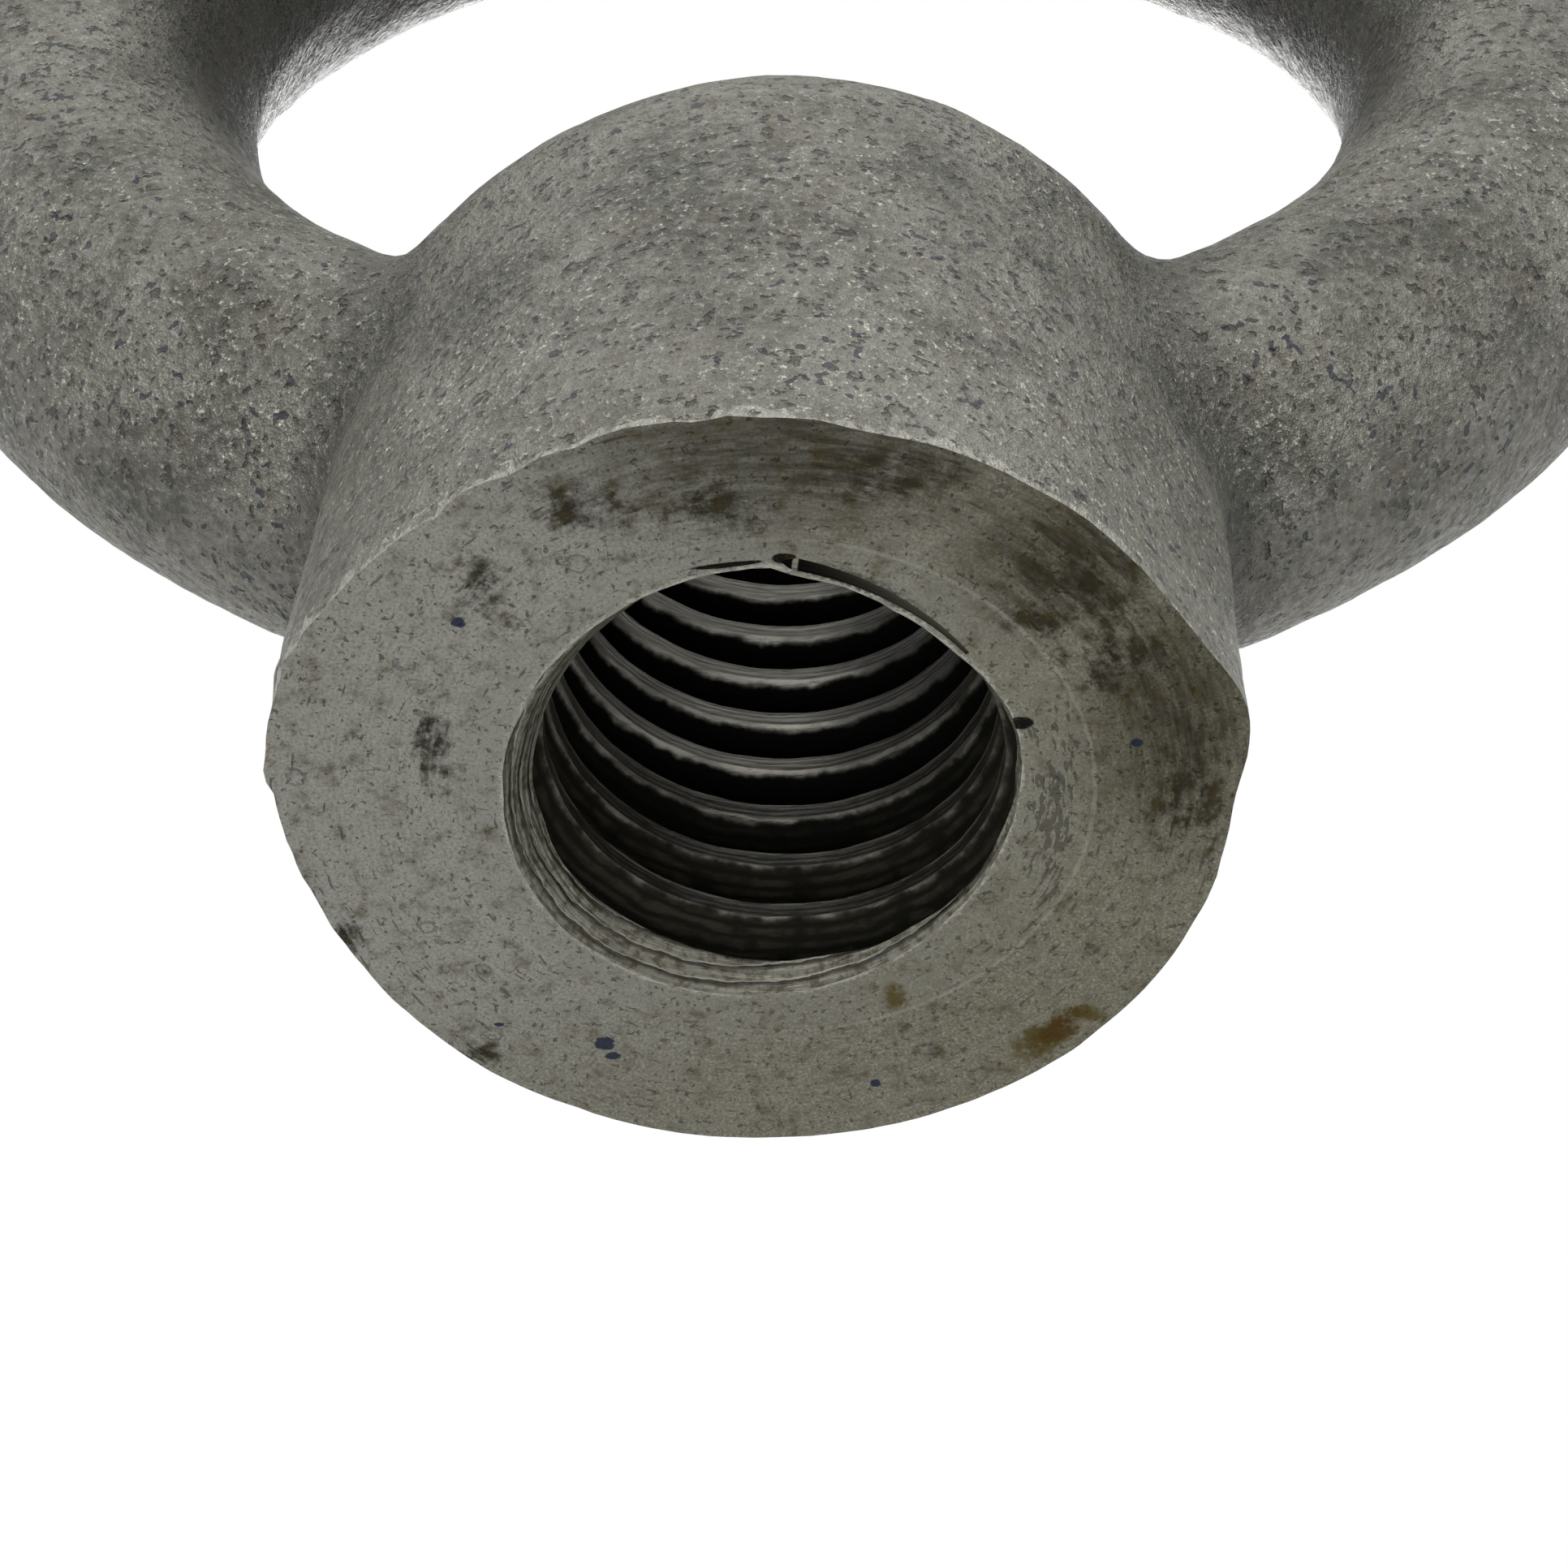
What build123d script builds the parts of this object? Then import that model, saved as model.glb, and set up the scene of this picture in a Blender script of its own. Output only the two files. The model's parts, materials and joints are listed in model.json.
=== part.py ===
"""Lifting eye nut, drop forged in one piece and tapped through for a metric coarse thread.

The origin is on the thread's axis, in the turned bearing face. +Z runs up that axis into
the eye, and the eye lies in the XZ plane, so that a hook or shackle passes through it
along Y. All sizes are in millimetres.
"""
from build123d import *
from math import radians, tan
import os

# ---- driving sizes -----------------------------------------------------------------
thread_major = 12.0          # nominal thread, M12 coarse
tap_drill = 10.2             # plain bore that the thread is cut in
mouth_relief = 0.05          # countersink beyond the thread's outside, each side
exit_break = 0.4             # broken edge where the bore comes out in the eye

boss_diameter = 20.8         # boss at its bearing face
boss_height = 18.7           # bearing face to the crown inside the eye
boss_draft = 2.2             # degrees that the wall leans in, to leave the dies
crown_radius = 4.0           # round between the wall and the crown
rim_break = 0.2              # broken edge round the bearing face

eye_opening = 31.0           # clear diameter inside the eye
stock_diameter = 9.5         # round section of the ring
eye_height = 30.8            # bearing face to the eye's centre
neck_fillet = 2.0            # round where the ring runs into the boss

# ---- sizes that follow -------------------------------------------------------------
bore_radius = tap_drill / 2
mouth_radius = thread_major / 2 + mouth_relief
boss_radius = boss_diameter / 2
wall_lean = tan(radians(boss_draft))
ring_radius = (eye_opening + stock_diameter) / 2


def turned(outline, corner_radius=0):
    """Solid turned about the thread's axis from (radius, height) points."""
    with BuildPart() as body:
        with BuildSketch(Plane.YZ):
            with BuildLine():
                Polyline(*outline, close=True)
            make_face()
            if corner_radius:
                top_corners = vertices().group_by(Axis.Y)[-1]
                fillet(top_corners.sort_by(Axis.X)[-1], corner_radius)
        revolve(axis=Axis.Z)
    return body.part


def forged_boss():
    """Drafted round boss with a rounded crown and a broken edge at the bearing face."""
    return turned(
        [
            (0, 0),
            (boss_radius - rim_break, 0),
            (boss_radius - rim_break * wall_lean, rim_break),
            (boss_radius - boss_height * wall_lean, boss_height),
            (0, boss_height),
        ],
        corner_radius=crown_radius,
    )


def forged_ring():
    """Closed eye of round stock, turned about the eye's own axis."""
    with BuildPart() as ring:
        with BuildSketch(Plane.XY.offset(eye_height)):
            with Locations((ring_radius, 0)):
                Circle(stock_diameter / 2)
        revolve(axis=Axis((0, 0, eye_height), (0, 1, 0)))
    return ring.part


def blended(boss, ring):
    """The two joined, with the forging's round along the line where they meet."""
    body = boss + ring
    seam = new_edges(boss, ring, combined=body)
    return body.fillet(neck_fillet, seam)


def tap_bore():
    """Tap-drill bore with its countersink and exit break, to be cut from the forging."""
    lead = mouth_radius - bore_radius
    return turned(
        [
            (0, -lead),
            (mouth_radius + lead, -lead),
            (bore_radius, lead),
            (bore_radius, boss_height - exit_break),
            (bore_radius + 2 * exit_break, boss_height + exit_break),
            (0, boss_height + exit_break),
        ]
    )


eye_nut = blended(forged_boss(), forged_ring()) - tap_bore()
eye_nut.label = "eye_nut"

os.makedirs("parts", exist_ok=True)
export_step(eye_nut, "parts/eye_nut.step")
print("eye nut volume", round(eye_nut.volume, 1), "mm3")
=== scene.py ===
# %% [markdown]
# # A lifting eye nut, dressed over its CAD solid
#
# An eye nut is one drop forging: a round boss and a ring, pressed red hot between two dies.
# Grit then blasts the scale off, a lathe faces the foot of the boss and opens the hole, and
# a tap cuts the thread. This lesson follows the same order. We grow the forging as one
# smooth skin, cut the bearing face, cut the thread, and give each of the three surfaces the
# finish that its tool leaves.

# %% Load the packed model as the frame
import json
from math import atan, cos, degrees, pi, radians, sin, tan

import bmesh
import bpy
from mathutils import Matrix, Vector


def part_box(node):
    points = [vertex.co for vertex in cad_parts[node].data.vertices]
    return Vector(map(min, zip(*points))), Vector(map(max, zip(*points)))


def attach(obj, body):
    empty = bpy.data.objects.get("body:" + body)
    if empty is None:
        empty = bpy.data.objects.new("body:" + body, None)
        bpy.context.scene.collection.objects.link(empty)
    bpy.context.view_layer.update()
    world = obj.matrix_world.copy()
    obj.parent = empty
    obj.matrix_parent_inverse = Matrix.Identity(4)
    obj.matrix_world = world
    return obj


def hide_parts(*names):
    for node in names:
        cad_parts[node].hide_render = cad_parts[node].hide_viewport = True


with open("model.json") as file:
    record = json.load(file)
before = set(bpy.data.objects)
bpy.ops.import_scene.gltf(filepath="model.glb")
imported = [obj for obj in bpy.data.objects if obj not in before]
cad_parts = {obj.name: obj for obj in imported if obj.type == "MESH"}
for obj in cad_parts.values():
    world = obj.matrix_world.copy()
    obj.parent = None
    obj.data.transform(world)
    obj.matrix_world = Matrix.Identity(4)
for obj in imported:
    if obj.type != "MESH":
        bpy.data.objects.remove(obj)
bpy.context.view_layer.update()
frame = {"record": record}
MM = 0.001                                   # one millimetre in metres

# %% [markdown]
# The main sizes come from the solid that the frame holds, so this lesson fits it by itself.
# The box of the node gives the height and the ring's width. The record's thread mount gives
# the radius of the plain hole, and the eye's centre lies half a ring below the top.

# %% Read the main sizes, in millimetres
low, high = (Vector(corner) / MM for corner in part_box("eye_nut"))
thread_mount = next(m for m in frame["record"]["mounts"] if m["name"] == "thread")
bore_radius = thread_mount["dims"]["r_mm"]
stock_radius = 4.75                          # half the ring's round section
ring_radius = high.x - stock_radius          # eye's centre to the middle of the stock
eye_height = high.z - high.x                 # bearing face to the eye's centre
print("ring", round(ring_radius, 2), "eye height", round(eye_height, 2), "bore", bore_radius)

# %% [markdown]
# Every node tree below is written with one small function. It adds a node, sets its
# settings, and fills its inputs: a number is typed into the socket, and a node or a socket
# is linked to it. Many nodes hide the sockets that their setting doesn't use, such as the
# plain numbers of a Mix node that mixes colours, so only the sockets in use are counted.

# %% A helper that adds a node
def node(tree, kind, inputs=(), **settings):
    """Adds a node. inputs holds its sockets in use, by name or in their order."""
    made = tree.nodes.new(kind)
    for name, value in settings.items():
        setattr(made, name, value)
    in_use = [socket for socket in made.inputs if socket.enabled]
    names = [socket.name for socket in in_use]
    pairs = inputs.items() if isinstance(inputs, dict) else zip(names, inputs)
    for place, (name, value) in enumerate(pairs):
        socket = in_use[names.index(name) if isinstance(inputs, dict) else place]
        if isinstance(value, bpy.types.Node):
            value = next(output for output in value.outputs if output.enabled)
        if isinstance(value, bpy.types.NodeSocket):
            tree.links.new(value, socket)
        else:
            socket.default_value = value
    return made


print("node:", node.__doc__)

# %% [markdown]
# The nut has three surfaces, and each is named here for its steel and for the tool that
# made it. The trees and tools below put these materials on their faces, and the nodes that
# colour them come after the shape.

# %% Name the three surfaces
skin_steel = bpy.data.materials.new("drop-forged steel, grit blasted")
face_steel = bpy.data.materials.new("carbon steel, lathe turned")
thread_steel = bpy.data.materials.new("carbon steel, tapped thread")
print("surfaces:", [surface.name for surface in (skin_steel, face_steel, thread_steel)])

# %% [markdown]
# ## The forging
#
# A forging has no seams: metal flows from the ring into the boss in one soft hollow. A
# boolean union would leave a hard crease there, and a bevel on that crease is fragile. We
# describe the shape by a rule instead: a group of nodes gives each point in space its
# distance from the metal. Smooth Minimum blends the distance to the boss with the distance
# to the ring, and that blend is the hollow that the dies' rounded edges press.
#
# Each size of the forging is a named input of its tree, so that it can be changed in the
# Blender window as well as here.

# %% The sizes of the forging, by name
boss_height = 18.7                           # bearing face to the crown inside the eye
boss_radius = 10.2                           # boss at the bearing face
forging_sizes = {
    "Ring Radius": ring_radius, "Stock Radius": stock_radius, "Eye Height": eye_height,
    "Boss Radius": boss_radius, "Boss Height": boss_height,
    "Crown Radius": 5.0,                     # round between the wall and the crown
    "Draft": tan(radians(1.1)),              # the wall leans in to leave the dies
    "Blend Reach": 1.5,                      # how far the hollow by the ring reaches
    "Lean": 0.025, "Lean Start": -0.25,      # the metal leans along X as it rises
    "Side Offset": 0.28,                     # and is set off along Y
    "Flash Height": 0.58,                    # how far the trimmed flash stands proud
    "Foot Stock": 1.0,                       # metal below the bearing face, for facing
}


def name_sizes(tree, sizes):
    """Gives a tree one named input for each size and returns its input node's sockets."""
    for name, value in sizes.items():
        kind = {int: "NodeSocketInt", float: "NodeSocketFloat"}.get(type(value), "NodeSocketVector")
        tree.interface.new_socket(name, in_out="INPUT", socket_type=kind)
    return node(tree, "NodeGroupInput").outputs


print("lean:", round(degrees(atan(forging_sizes["Lean"])), 1), "degrees")

# %% [markdown]
# The rule is a node group of its own. It starts with a fault of this forging: it sat askew
# in the chuck when the hole was cut, so the metal leans along X and is set off along Y,
# while the hole's axis stays where the frame has it. All later steps measure from the
# middle of the metal.

# %% The rule's inputs and the lean
distance_rule = bpy.data.node_groups.new("distance to the forging", "GeometryNodeTree")
tree = distance_rule
tree.interface.new_socket("Distance", in_out="OUTPUT", socket_type="NodeSocketFloat")
size = name_sizes(tree, {"Position": Vector(), **forging_sizes})
x, y, z = node(tree, "ShaderNodeSeparateXYZ", (size["Position"],)).outputs
middle = node(tree, "ShaderNodeMath", (z, size["Lean"], size["Lean Start"]),
              operation="MULTIPLY_ADD")
across = node(tree, "ShaderNodeMath", (x, middle), operation="SUBTRACT")
depth = node(tree, "ShaderNodeMath", (y, size["Side Offset"]), operation="SUBTRACT")
one_side = node(tree, "ShaderNodeMapRange", {"Value": across, "From Min": -5.0, "From Max": 5.0})
print("rule:", distance_rule.name, "with", len(forging_sizes), "sizes")

# %% [markdown]
# Where two dies meet, a thin web of metal squeezes out, the flash. It is sheared off, and
# a low ridge stays down each side of the boss. A bell curve across the side gives that
# ridge: wide on one side, narrow on the other.

# %% Trimmed flash
flash_wide, flash_narrow = 3.7, 1.7          # reach of the bell on the two sides
flash_offset = 2.4                           # ridge to the middle of the boss, along Y
reach = node(tree, "ShaderNodeMath", (one_side, flash_narrow - flash_wide, flash_wide),
             operation="MULTIPLY_ADD")
off_ridge = node(tree, "ShaderNodeMath", (y, flash_offset), operation="ADD")
off_ridge = node(tree, "ShaderNodeMath", (off_ridge, reach), operation="DIVIDE")
square = node(tree, "ShaderNodeMath", (off_ridge, off_ridge), operation="MULTIPLY")
falling = node(tree, "ShaderNodeMath", (square, -1.0), operation="MULTIPLY")
ridge = node(tree, "ShaderNodeMath", (falling,), operation="EXPONENT")
print("flash ridge:", len(tree.nodes), "nodes so far")

# %% [markdown]
# The boss is a cylinder whose wall leans in as it rises, so that it leaves the die. It
# narrows a little more across the eye than along it, so the depth is stretched before the
# distance from the axis is taken.

# %% The wall of the boss
narrowing = 0.00012                          # share lost across the eye, per mm squared
wall = node(tree, "ShaderNodeMath", (z, size["Draft"]), operation="MULTIPLY")
wall = node(tree, "ShaderNodeMath", (size["Boss Radius"], wall), operation="SUBTRACT")
wall = node(tree, "ShaderNodeMath", (ridge, size["Flash Height"], wall), operation="MULTIPLY_ADD")
square = node(tree, "ShaderNodeMath", (z, z), operation="MULTIPLY")
stretch = node(tree, "ShaderNodeMath", (square, narrowing, 1.0), operation="MULTIPLY_ADD")
stretched = node(tree, "ShaderNodeMath", (depth, stretch), operation="MULTIPLY")
flat = node(tree, "ShaderNodeCombineXYZ", (across, stretched))
from_axis = node(tree, "ShaderNodeVectorMath", (flat,), operation="LENGTH")
outside = node(tree, "ShaderNodeMath", (from_axis, wall), operation="SUBTRACT")
print("wall: draft", round(degrees(atan(forging_sizes["Draft"])), 2), "degrees")

# %% [markdown]
# A round joins wall and crown. The distance to a rounded corner is known from geometry:
# how far outside the wall and the crown a point lies, each moved in by the corner's
# radius, taken together by Pythagoras, less that radius.

# %% The round crown
out = node(tree, "ShaderNodeMath", (outside, size["Crown Radius"]), operation="ADD")
up = node(tree, "ShaderNodeMath", (z, size["Crown Radius"]), operation="ADD")
up = node(tree, "ShaderNodeMath", (up, size["Boss Height"]), operation="SUBTRACT")
out_part = node(tree, "ShaderNodeMath", (out, 0.0), operation="MAXIMUM")
up_part = node(tree, "ShaderNodeMath", (up, 0.0), operation="MAXIMUM")
corner = node(tree, "ShaderNodeCombineXYZ", (out_part, up_part))
from_corner = node(tree, "ShaderNodeVectorMath", (corner,), operation="LENGTH")
inside = node(tree, "ShaderNodeMath", (out, up), operation="MAXIMUM")
inside = node(tree, "ShaderNodeMath", (inside, 0.0), operation="MINIMUM")
boss = node(tree, "ShaderNodeMath", (from_corner, inside), operation="ADD")
boss = node(tree, "ShaderNodeMath", (boss, size["Crown Radius"]), operation="SUBTRACT")
print("boss:", len(tree.nodes), "nodes so far")

# %% [markdown]
# The ring is round stock bent about the eye's centre, so its distance is Pythagoras
# twice: once in the plane of the eye and once across it.

# %% The ring
above = node(tree, "ShaderNodeMath", (z, size["Eye Height"]), operation="SUBTRACT")
in_plane = node(tree, "ShaderNodeCombineXYZ", (across, above))
from_eye = node(tree, "ShaderNodeVectorMath", (in_plane,), operation="LENGTH")
from_ring = node(tree, "ShaderNodeMath", (from_eye, size["Ring Radius"]), operation="SUBTRACT")
section = node(tree, "ShaderNodeCombineXYZ", (from_ring, depth))
from_middle = node(tree, "ShaderNodeVectorMath", (section,), operation="LENGTH")
ring = node(tree, "ShaderNodeMath", (from_middle, size["Stock Radius"]), operation="SUBTRACT")
print("ring:", len(tree.nodes), "nodes so far")

# %% [markdown]
# A little flash is left inside the eye on one side, highest in the plane where the dies
# met. Then Smooth Minimum joins boss and ring, and its reach is the radius of the hollow
# between them.

# %% Flash in the eye, and the hollow
land_height, land_fall = 0.3, 0.6            # height in mm, and how fast it falls off
land = node(tree, "ShaderNodeMath", (one_side, -1.0), operation="ADD")
land = node(tree, "ShaderNodeMath", (land, land_height), operation="MULTIPLY")
fall = node(tree, "ShaderNodeMath", (depth, depth), operation="MULTIPLY")
fall = node(tree, "ShaderNodeMath", (fall, land_fall, 1.0), operation="MULTIPLY_ADD")
land = node(tree, "ShaderNodeMath", (land, fall), operation="DIVIDE")
in_eye = node(tree, "ShaderNodeMath", (from_ring, 0.0), operation="LESS_THAN")
ring = node(tree, "ShaderNodeMath", (land, in_eye, ring), operation="MULTIPLY_ADD")
metal = node(tree, "ShaderNodeMath", (boss, ring, size["Blend Reach"]), operation="SMOOTH_MIN")
print("boss and ring joined over", forging_sizes["Blend Reach"], "mm")

# %% [markdown]
# No forging is quite even. Slow swells come from worn dies, and small lumps from the
# blasting. At the foot, where the lathe's cut breaks out, the lumps are larger on the side
# that the tool left last, which makes the rim ragged.

# %% Unevenness
swell_length, swell_height = 1 / 0.12, 0.45  # mm, about 8.3 from swell to swell
lump_length, lump_height = 1 / 0.9, 0.12     # mm, about 1.1 from lump to lump
torn_height = 0.45                           # what the torn rim adds to the lumps
swell = node(tree, "ShaderNodeTexNoise", {
    "Vector": size["Position"], "Scale": 1 / swell_length, "Detail": 2.0})
swell = node(tree, "ShaderNodeMath", (swell, -0.5), operation="ADD")
metal = node(tree, "ShaderNodeMath", (swell, swell_height, metal), operation="MULTIPLY_ADD")
low_part = node(tree, "ShaderNodeMapRange", {"Value": z, "From Min": 1.2, "From Max": 0.2})
last_side = node(tree, "ShaderNodeMath", (x, y), operation="ADD")
last_side = node(tree, "ShaderNodeMapRange", {
    "Value": last_side, "From Min": -4.0, "From Max": -13.0})
torn = node(tree, "ShaderNodeMath", (low_part, last_side), operation="MULTIPLY")
ragged = node(tree, "ShaderNodeMath", (torn, torn_height, lump_height), operation="MULTIPLY_ADD")
lumps = node(tree, "ShaderNodeTexNoise", {
    "Vector": size["Position"], "Scale": 1 / lump_length, "Detail": 3.0})
lumps = node(tree, "ShaderNodeMath", (lumps, -0.5), operation="ADD")
metal = node(tree, "ShaderNodeMath", (lumps, ragged, metal), operation="MULTIPLY_ADD")
print("swells of", swell_height, "mm and lumps of", lump_height, "mm")

# %% [markdown]
# Below the foot lies a millimetre of metal that the lathe will take off. The flat end is
# the larger of two distances, which is how a rule like this cuts one shape with another.

# %% Metal for facing
below = node(tree, "ShaderNodeMath", (z, -1.0), operation="MULTIPLY")
below = node(tree, "ShaderNodeMath", (below, size["Foot Stock"]), operation="SUBTRACT")
metal = node(tree, "ShaderNodeMath", (metal, below), operation="MAXIMUM")
node(tree, "NodeGroupOutput", (metal,))
print("distance rule:", len(distance_rule.nodes), "nodes")

# %% [markdown]
# Volume Cube samples the rule on a grid, as a block of fog that is thick in the metal, and
# Volume to Mesh wraps a skin round it. The grid reaches a little past the metal on every
# side, and has as many points each way as its voxels need.

# %% A grid of fog
room = Vector((1.5, 1.5, 1.5))               # air round the metal
grid_sizes = {
    "Low Corner": Vector((low.x, low.y, -forging_sizes["Foot Stock"])) - room,
    "High Corner": high + room,
    "Voxel Size": 0.34,
}
tree = bpy.data.node_groups.new("drop forging", "GeometryNodeTree")
size = name_sizes(tree, {**grid_sizes, **forging_sizes})
place = node(tree, "GeometryNodeInputPosition")
rule_inputs = {"Position": place, **{name: size[name] for name in forging_sizes}}
rule = node(tree, "GeometryNodeGroup", rule_inputs, node_tree=distance_rule)
fog = node(tree, "ShaderNodeMath", (0.5, rule), operation="SUBTRACT", use_clamp=True)
sides = node(tree, "ShaderNodeVectorMath", (size["High Corner"], size["Low Corner"]),
             operation="SUBTRACT")
fineness = node(tree, "ShaderNodeMath", (1.0, size["Voxel Size"]), operation="DIVIDE")
steps = node(tree, "ShaderNodeVectorMath", {"Vector": sides, "Scale": fineness},
             operation="SCALE")
counts = node(tree, "ShaderNodeVectorMath", (steps, (1.5, 1.5, 1.5)))
count_x, count_y, count_z = node(tree, "ShaderNodeSeparateXYZ", (counts,)).outputs
block = node(tree, "GeometryNodeVolumeCube", {
    "Density": fog, "Min": size["Low Corner"], "Max": size["High Corner"],
    "Resolution X": count_x, "Resolution Y": count_y, "Resolution Z": count_z})
print("grid:", [round(v, 1) for v in grid_sizes["High Corner"] - grid_sizes["Low Corner"]], "mm")

# %% [markdown]
# The skin of a grid is slightly stepped. Each of its points then moves along its normal by
# the distance that the rule gives there, which puts it on the true surface.

# %% The skin, moved onto the true surface
skin = node(tree, "GeometryNodeVolumeToMesh", {"Volume": block, "Threshold": 0.5})
rule = node(tree, "GeometryNodeGroup", rule_inputs, node_tree=distance_rule)
back = node(tree, "ShaderNodeMath", (rule, -1.0), operation="MULTIPLY")
normal = node(tree, "GeometryNodeInputNormal")
step = node(tree, "ShaderNodeVectorMath", {"Vector": normal, "Scale": back}, operation="SCALE")
skin = node(tree, "GeometryNodeSetPosition", {"Geometry": skin, "Offset": step})
forging_tree = tree
print("forging tree:", len(forging_tree.nodes), "nodes")

# %% [markdown]
# Every tree of this lesson ends in the same way. Its millimetres become metres, Realize
# Instances makes plain geometry of whatever it repeats, and Set Material gives it its
# surface.

# %% How each tree ends
def finish_tree(tree, shape, material):
    """Ends a tree: millimetres to metres, instances made real, and the material set."""
    tree.interface.new_socket("Geometry", in_out="OUTPUT", socket_type="NodeSocketGeometry")
    metres = node(tree, "GeometryNodeTransform", {"Geometry": shape, "Scale": (MM, MM, MM)})
    real = node(tree, "GeometryNodeRealizeInstances", (metres,))
    surface = node(tree, "GeometryNodeSetMaterial", {"Geometry": real, "Material": material})
    node(tree, "NodeGroupOutput", (surface,))


finish_tree(forging_tree, skin, skin_steel)
print("forging tree, finished:", len(forging_tree.nodes), "nodes")

# %% [markdown]
# A modifier runs the tree. Its sizes are filled in by each socket's identifier, which stays
# the same when a name changes, and before the object is first evaluated. new_from_object
# then keeps the result as a plain mesh, because the frame needs a mesh with nothing live.

# %% From a tree to a plain mesh
def applied(piece):
    """Turns a piece with its modifiers into a plain mesh."""
    seen = piece.evaluated_get(bpy.context.evaluated_depsgraph_get())
    mesh = bpy.data.meshes.new_from_object(seen)
    piece.modifiers.clear()
    piece.data = mesh
    return piece


def made_by(tree, name, sizes):
    """A plain mesh object from a Geometry Nodes tree, with its named sizes filled in."""
    piece = bpy.data.objects.new(name, bpy.data.meshes.new(name))
    bpy.context.collection.objects.link(piece)
    make = piece.modifiers.new("make", "NODES")
    make.node_group = tree
    for socket in tree.interface.items_tree:
        if socket.in_out == "INPUT":
            make[socket.identifier] = sizes[socket.name]
    return applied(piece)


forging = made_by(forging_tree, "forging", {**grid_sizes, **forging_sizes})
print("forging skin:", len(forging.data.polygons), "faces")

# %% [markdown]
# ## The cutting tools
#
# The lathe and the tap are meshes too. Each is a closed solid of what its tool takes away,
# and a Boolean subtracts it. The faces that a cut leaves keep the cutter's material, so
# every machined surface knows its finish.
#
# A Boolean needs a tool without holes whose faces point outwards, so each tool is closed
# and turned that way first.

# %% Close a tool and point its faces outwards
def turned_outwards(tool):
    """Closes a tool's holes and points all its faces outwards."""
    work = bmesh.new()
    work.from_mesh(tool.data)
    bmesh.ops.remove_doubles(work, verts=work.verts, dist=1e-7)
    open_edges = [edge for edge in work.edges if edge.is_boundary]
    if open_edges:
        bmesh.ops.holes_fill(work, edges=open_edges, sides=0)
    bmesh.ops.recalc_face_normals(work, faces=work.faces)
    if work.calc_volume(signed=True) < 0:
        bmesh.ops.reverse_faces(work, faces=work.faces)
    work.to_mesh(tool.data)
    work.free()


print("turned_outwards:", turned_outwards.__doc__)

# %% [markdown]
# The facing tool is a flat ring below the boss, an outline turned about the hole's axis.
# Its top has fine circles, so the bearing face comes out in small, even faces instead of
# one large flat one.

# %% The facing tool
def turning(name, outline, segments, material):
    """Solid turned about Z from a closed outline of (radius, height), in millimetres."""
    points, faces, count = [], [], len(outline)
    for step in range(segments):
        turn = 2 * pi * step / segments
        points += [(r * cos(turn) * MM, r * sin(turn) * MM, z * MM) for r, z in outline]
    for step in range(segments):
        here, there = step * count, (step + 1) % segments * count
        for i in range(count):
            j = (i + 1) % count
            faces.append((here + i, there + i, there + j, here + j))
    mesh = bpy.data.meshes.new(name)
    mesh.from_pydata(points, [], faces)
    mesh.materials.append(material)
    tool = bpy.data.objects.new(name, mesh)
    bpy.context.collection.objects.link(tool)
    return tool


inner_side, outer_side, tool_depth = 4.0, 13.5, -4.0
circles = [inner_side] + [4.6 + 0.2 * i for i in range(38)] + [outer_side]
outline = [(r, 0.0) for r in circles] + [(outer_side, tool_depth), (inner_side, tool_depth)]
facing_tool = turning("facing tool", outline, 144, face_steel)
turned_outwards(facing_tool)
print("facing tool:", len(facing_tool.data.polygons), "faces")

# %% [markdown]
# Where the thread comes out at the bearing face it leaves a step in the edge of the hole,
# and the lip beside the step is pushed in. Both are given by the direction from the axis,
# as its cosine and sine: they begin sharply on one side and fade on the other.

# %% The step where the thread comes out
mouth_step, mouth_dent = 0.20, 0.23          # step at the thread's end, dent in the lip


def lip_step(tree, cosine, sine):
    """How far the lip stands in where the thread comes out, in the direction given."""
    begins = node(tree, "ShaderNodeMapRange", {
        "Value": cosine, "From Min": 0.03, "From Max": 0.08, "To Max": mouth_step})
    grows = node(tree, "ShaderNodeMapRange", {
        "Value": cosine, "From Min": 0.10, "From Max": 0.45, "To Max": mouth_dent})
    ends = node(tree, "ShaderNodeMapRange", {
        "Value": cosine, "From Min": 0.95, "From Max": 0.70})
    on_side = node(tree, "ShaderNodeMath", (sine, 0.0), operation="LESS_THAN")
    step = node(tree, "ShaderNodeMath", (begins, grows), operation="ADD")
    step = node(tree, "ShaderNodeMath", (step, ends), operation="MULTIPLY")
    return node(tree, "ShaderNodeMath", (step, on_side), operation="MULTIPLY")


print("step:", mouth_step, "mm, dent:", mouth_dent, "mm")

# %% [markdown]
# The countersink was cut by a tool that ran off centre and shook, so its edge on the
# bearing face isn't a true circle. Its radius is a mean radius and a few waves: one wave a
# turn for the run off centre, and two waves a turn for the chatter, less the step.
#
# The tap needs this edge, and so do the finishes of the face and of the thread, so it is a
# function that adds the same nodes to any tree.

# %% The countersink's edge
mouth_radius = 5.80                          # countersink at the bearing face
mouth_run = (-0.26, -0.23)                   # how far it ran off centre, along X and Y
mouth_lobes = (-0.22, -0.20)                 # how far the chatter left it out of round
mouth_slope = 0.6                            # how much it narrows as it rises


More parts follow.
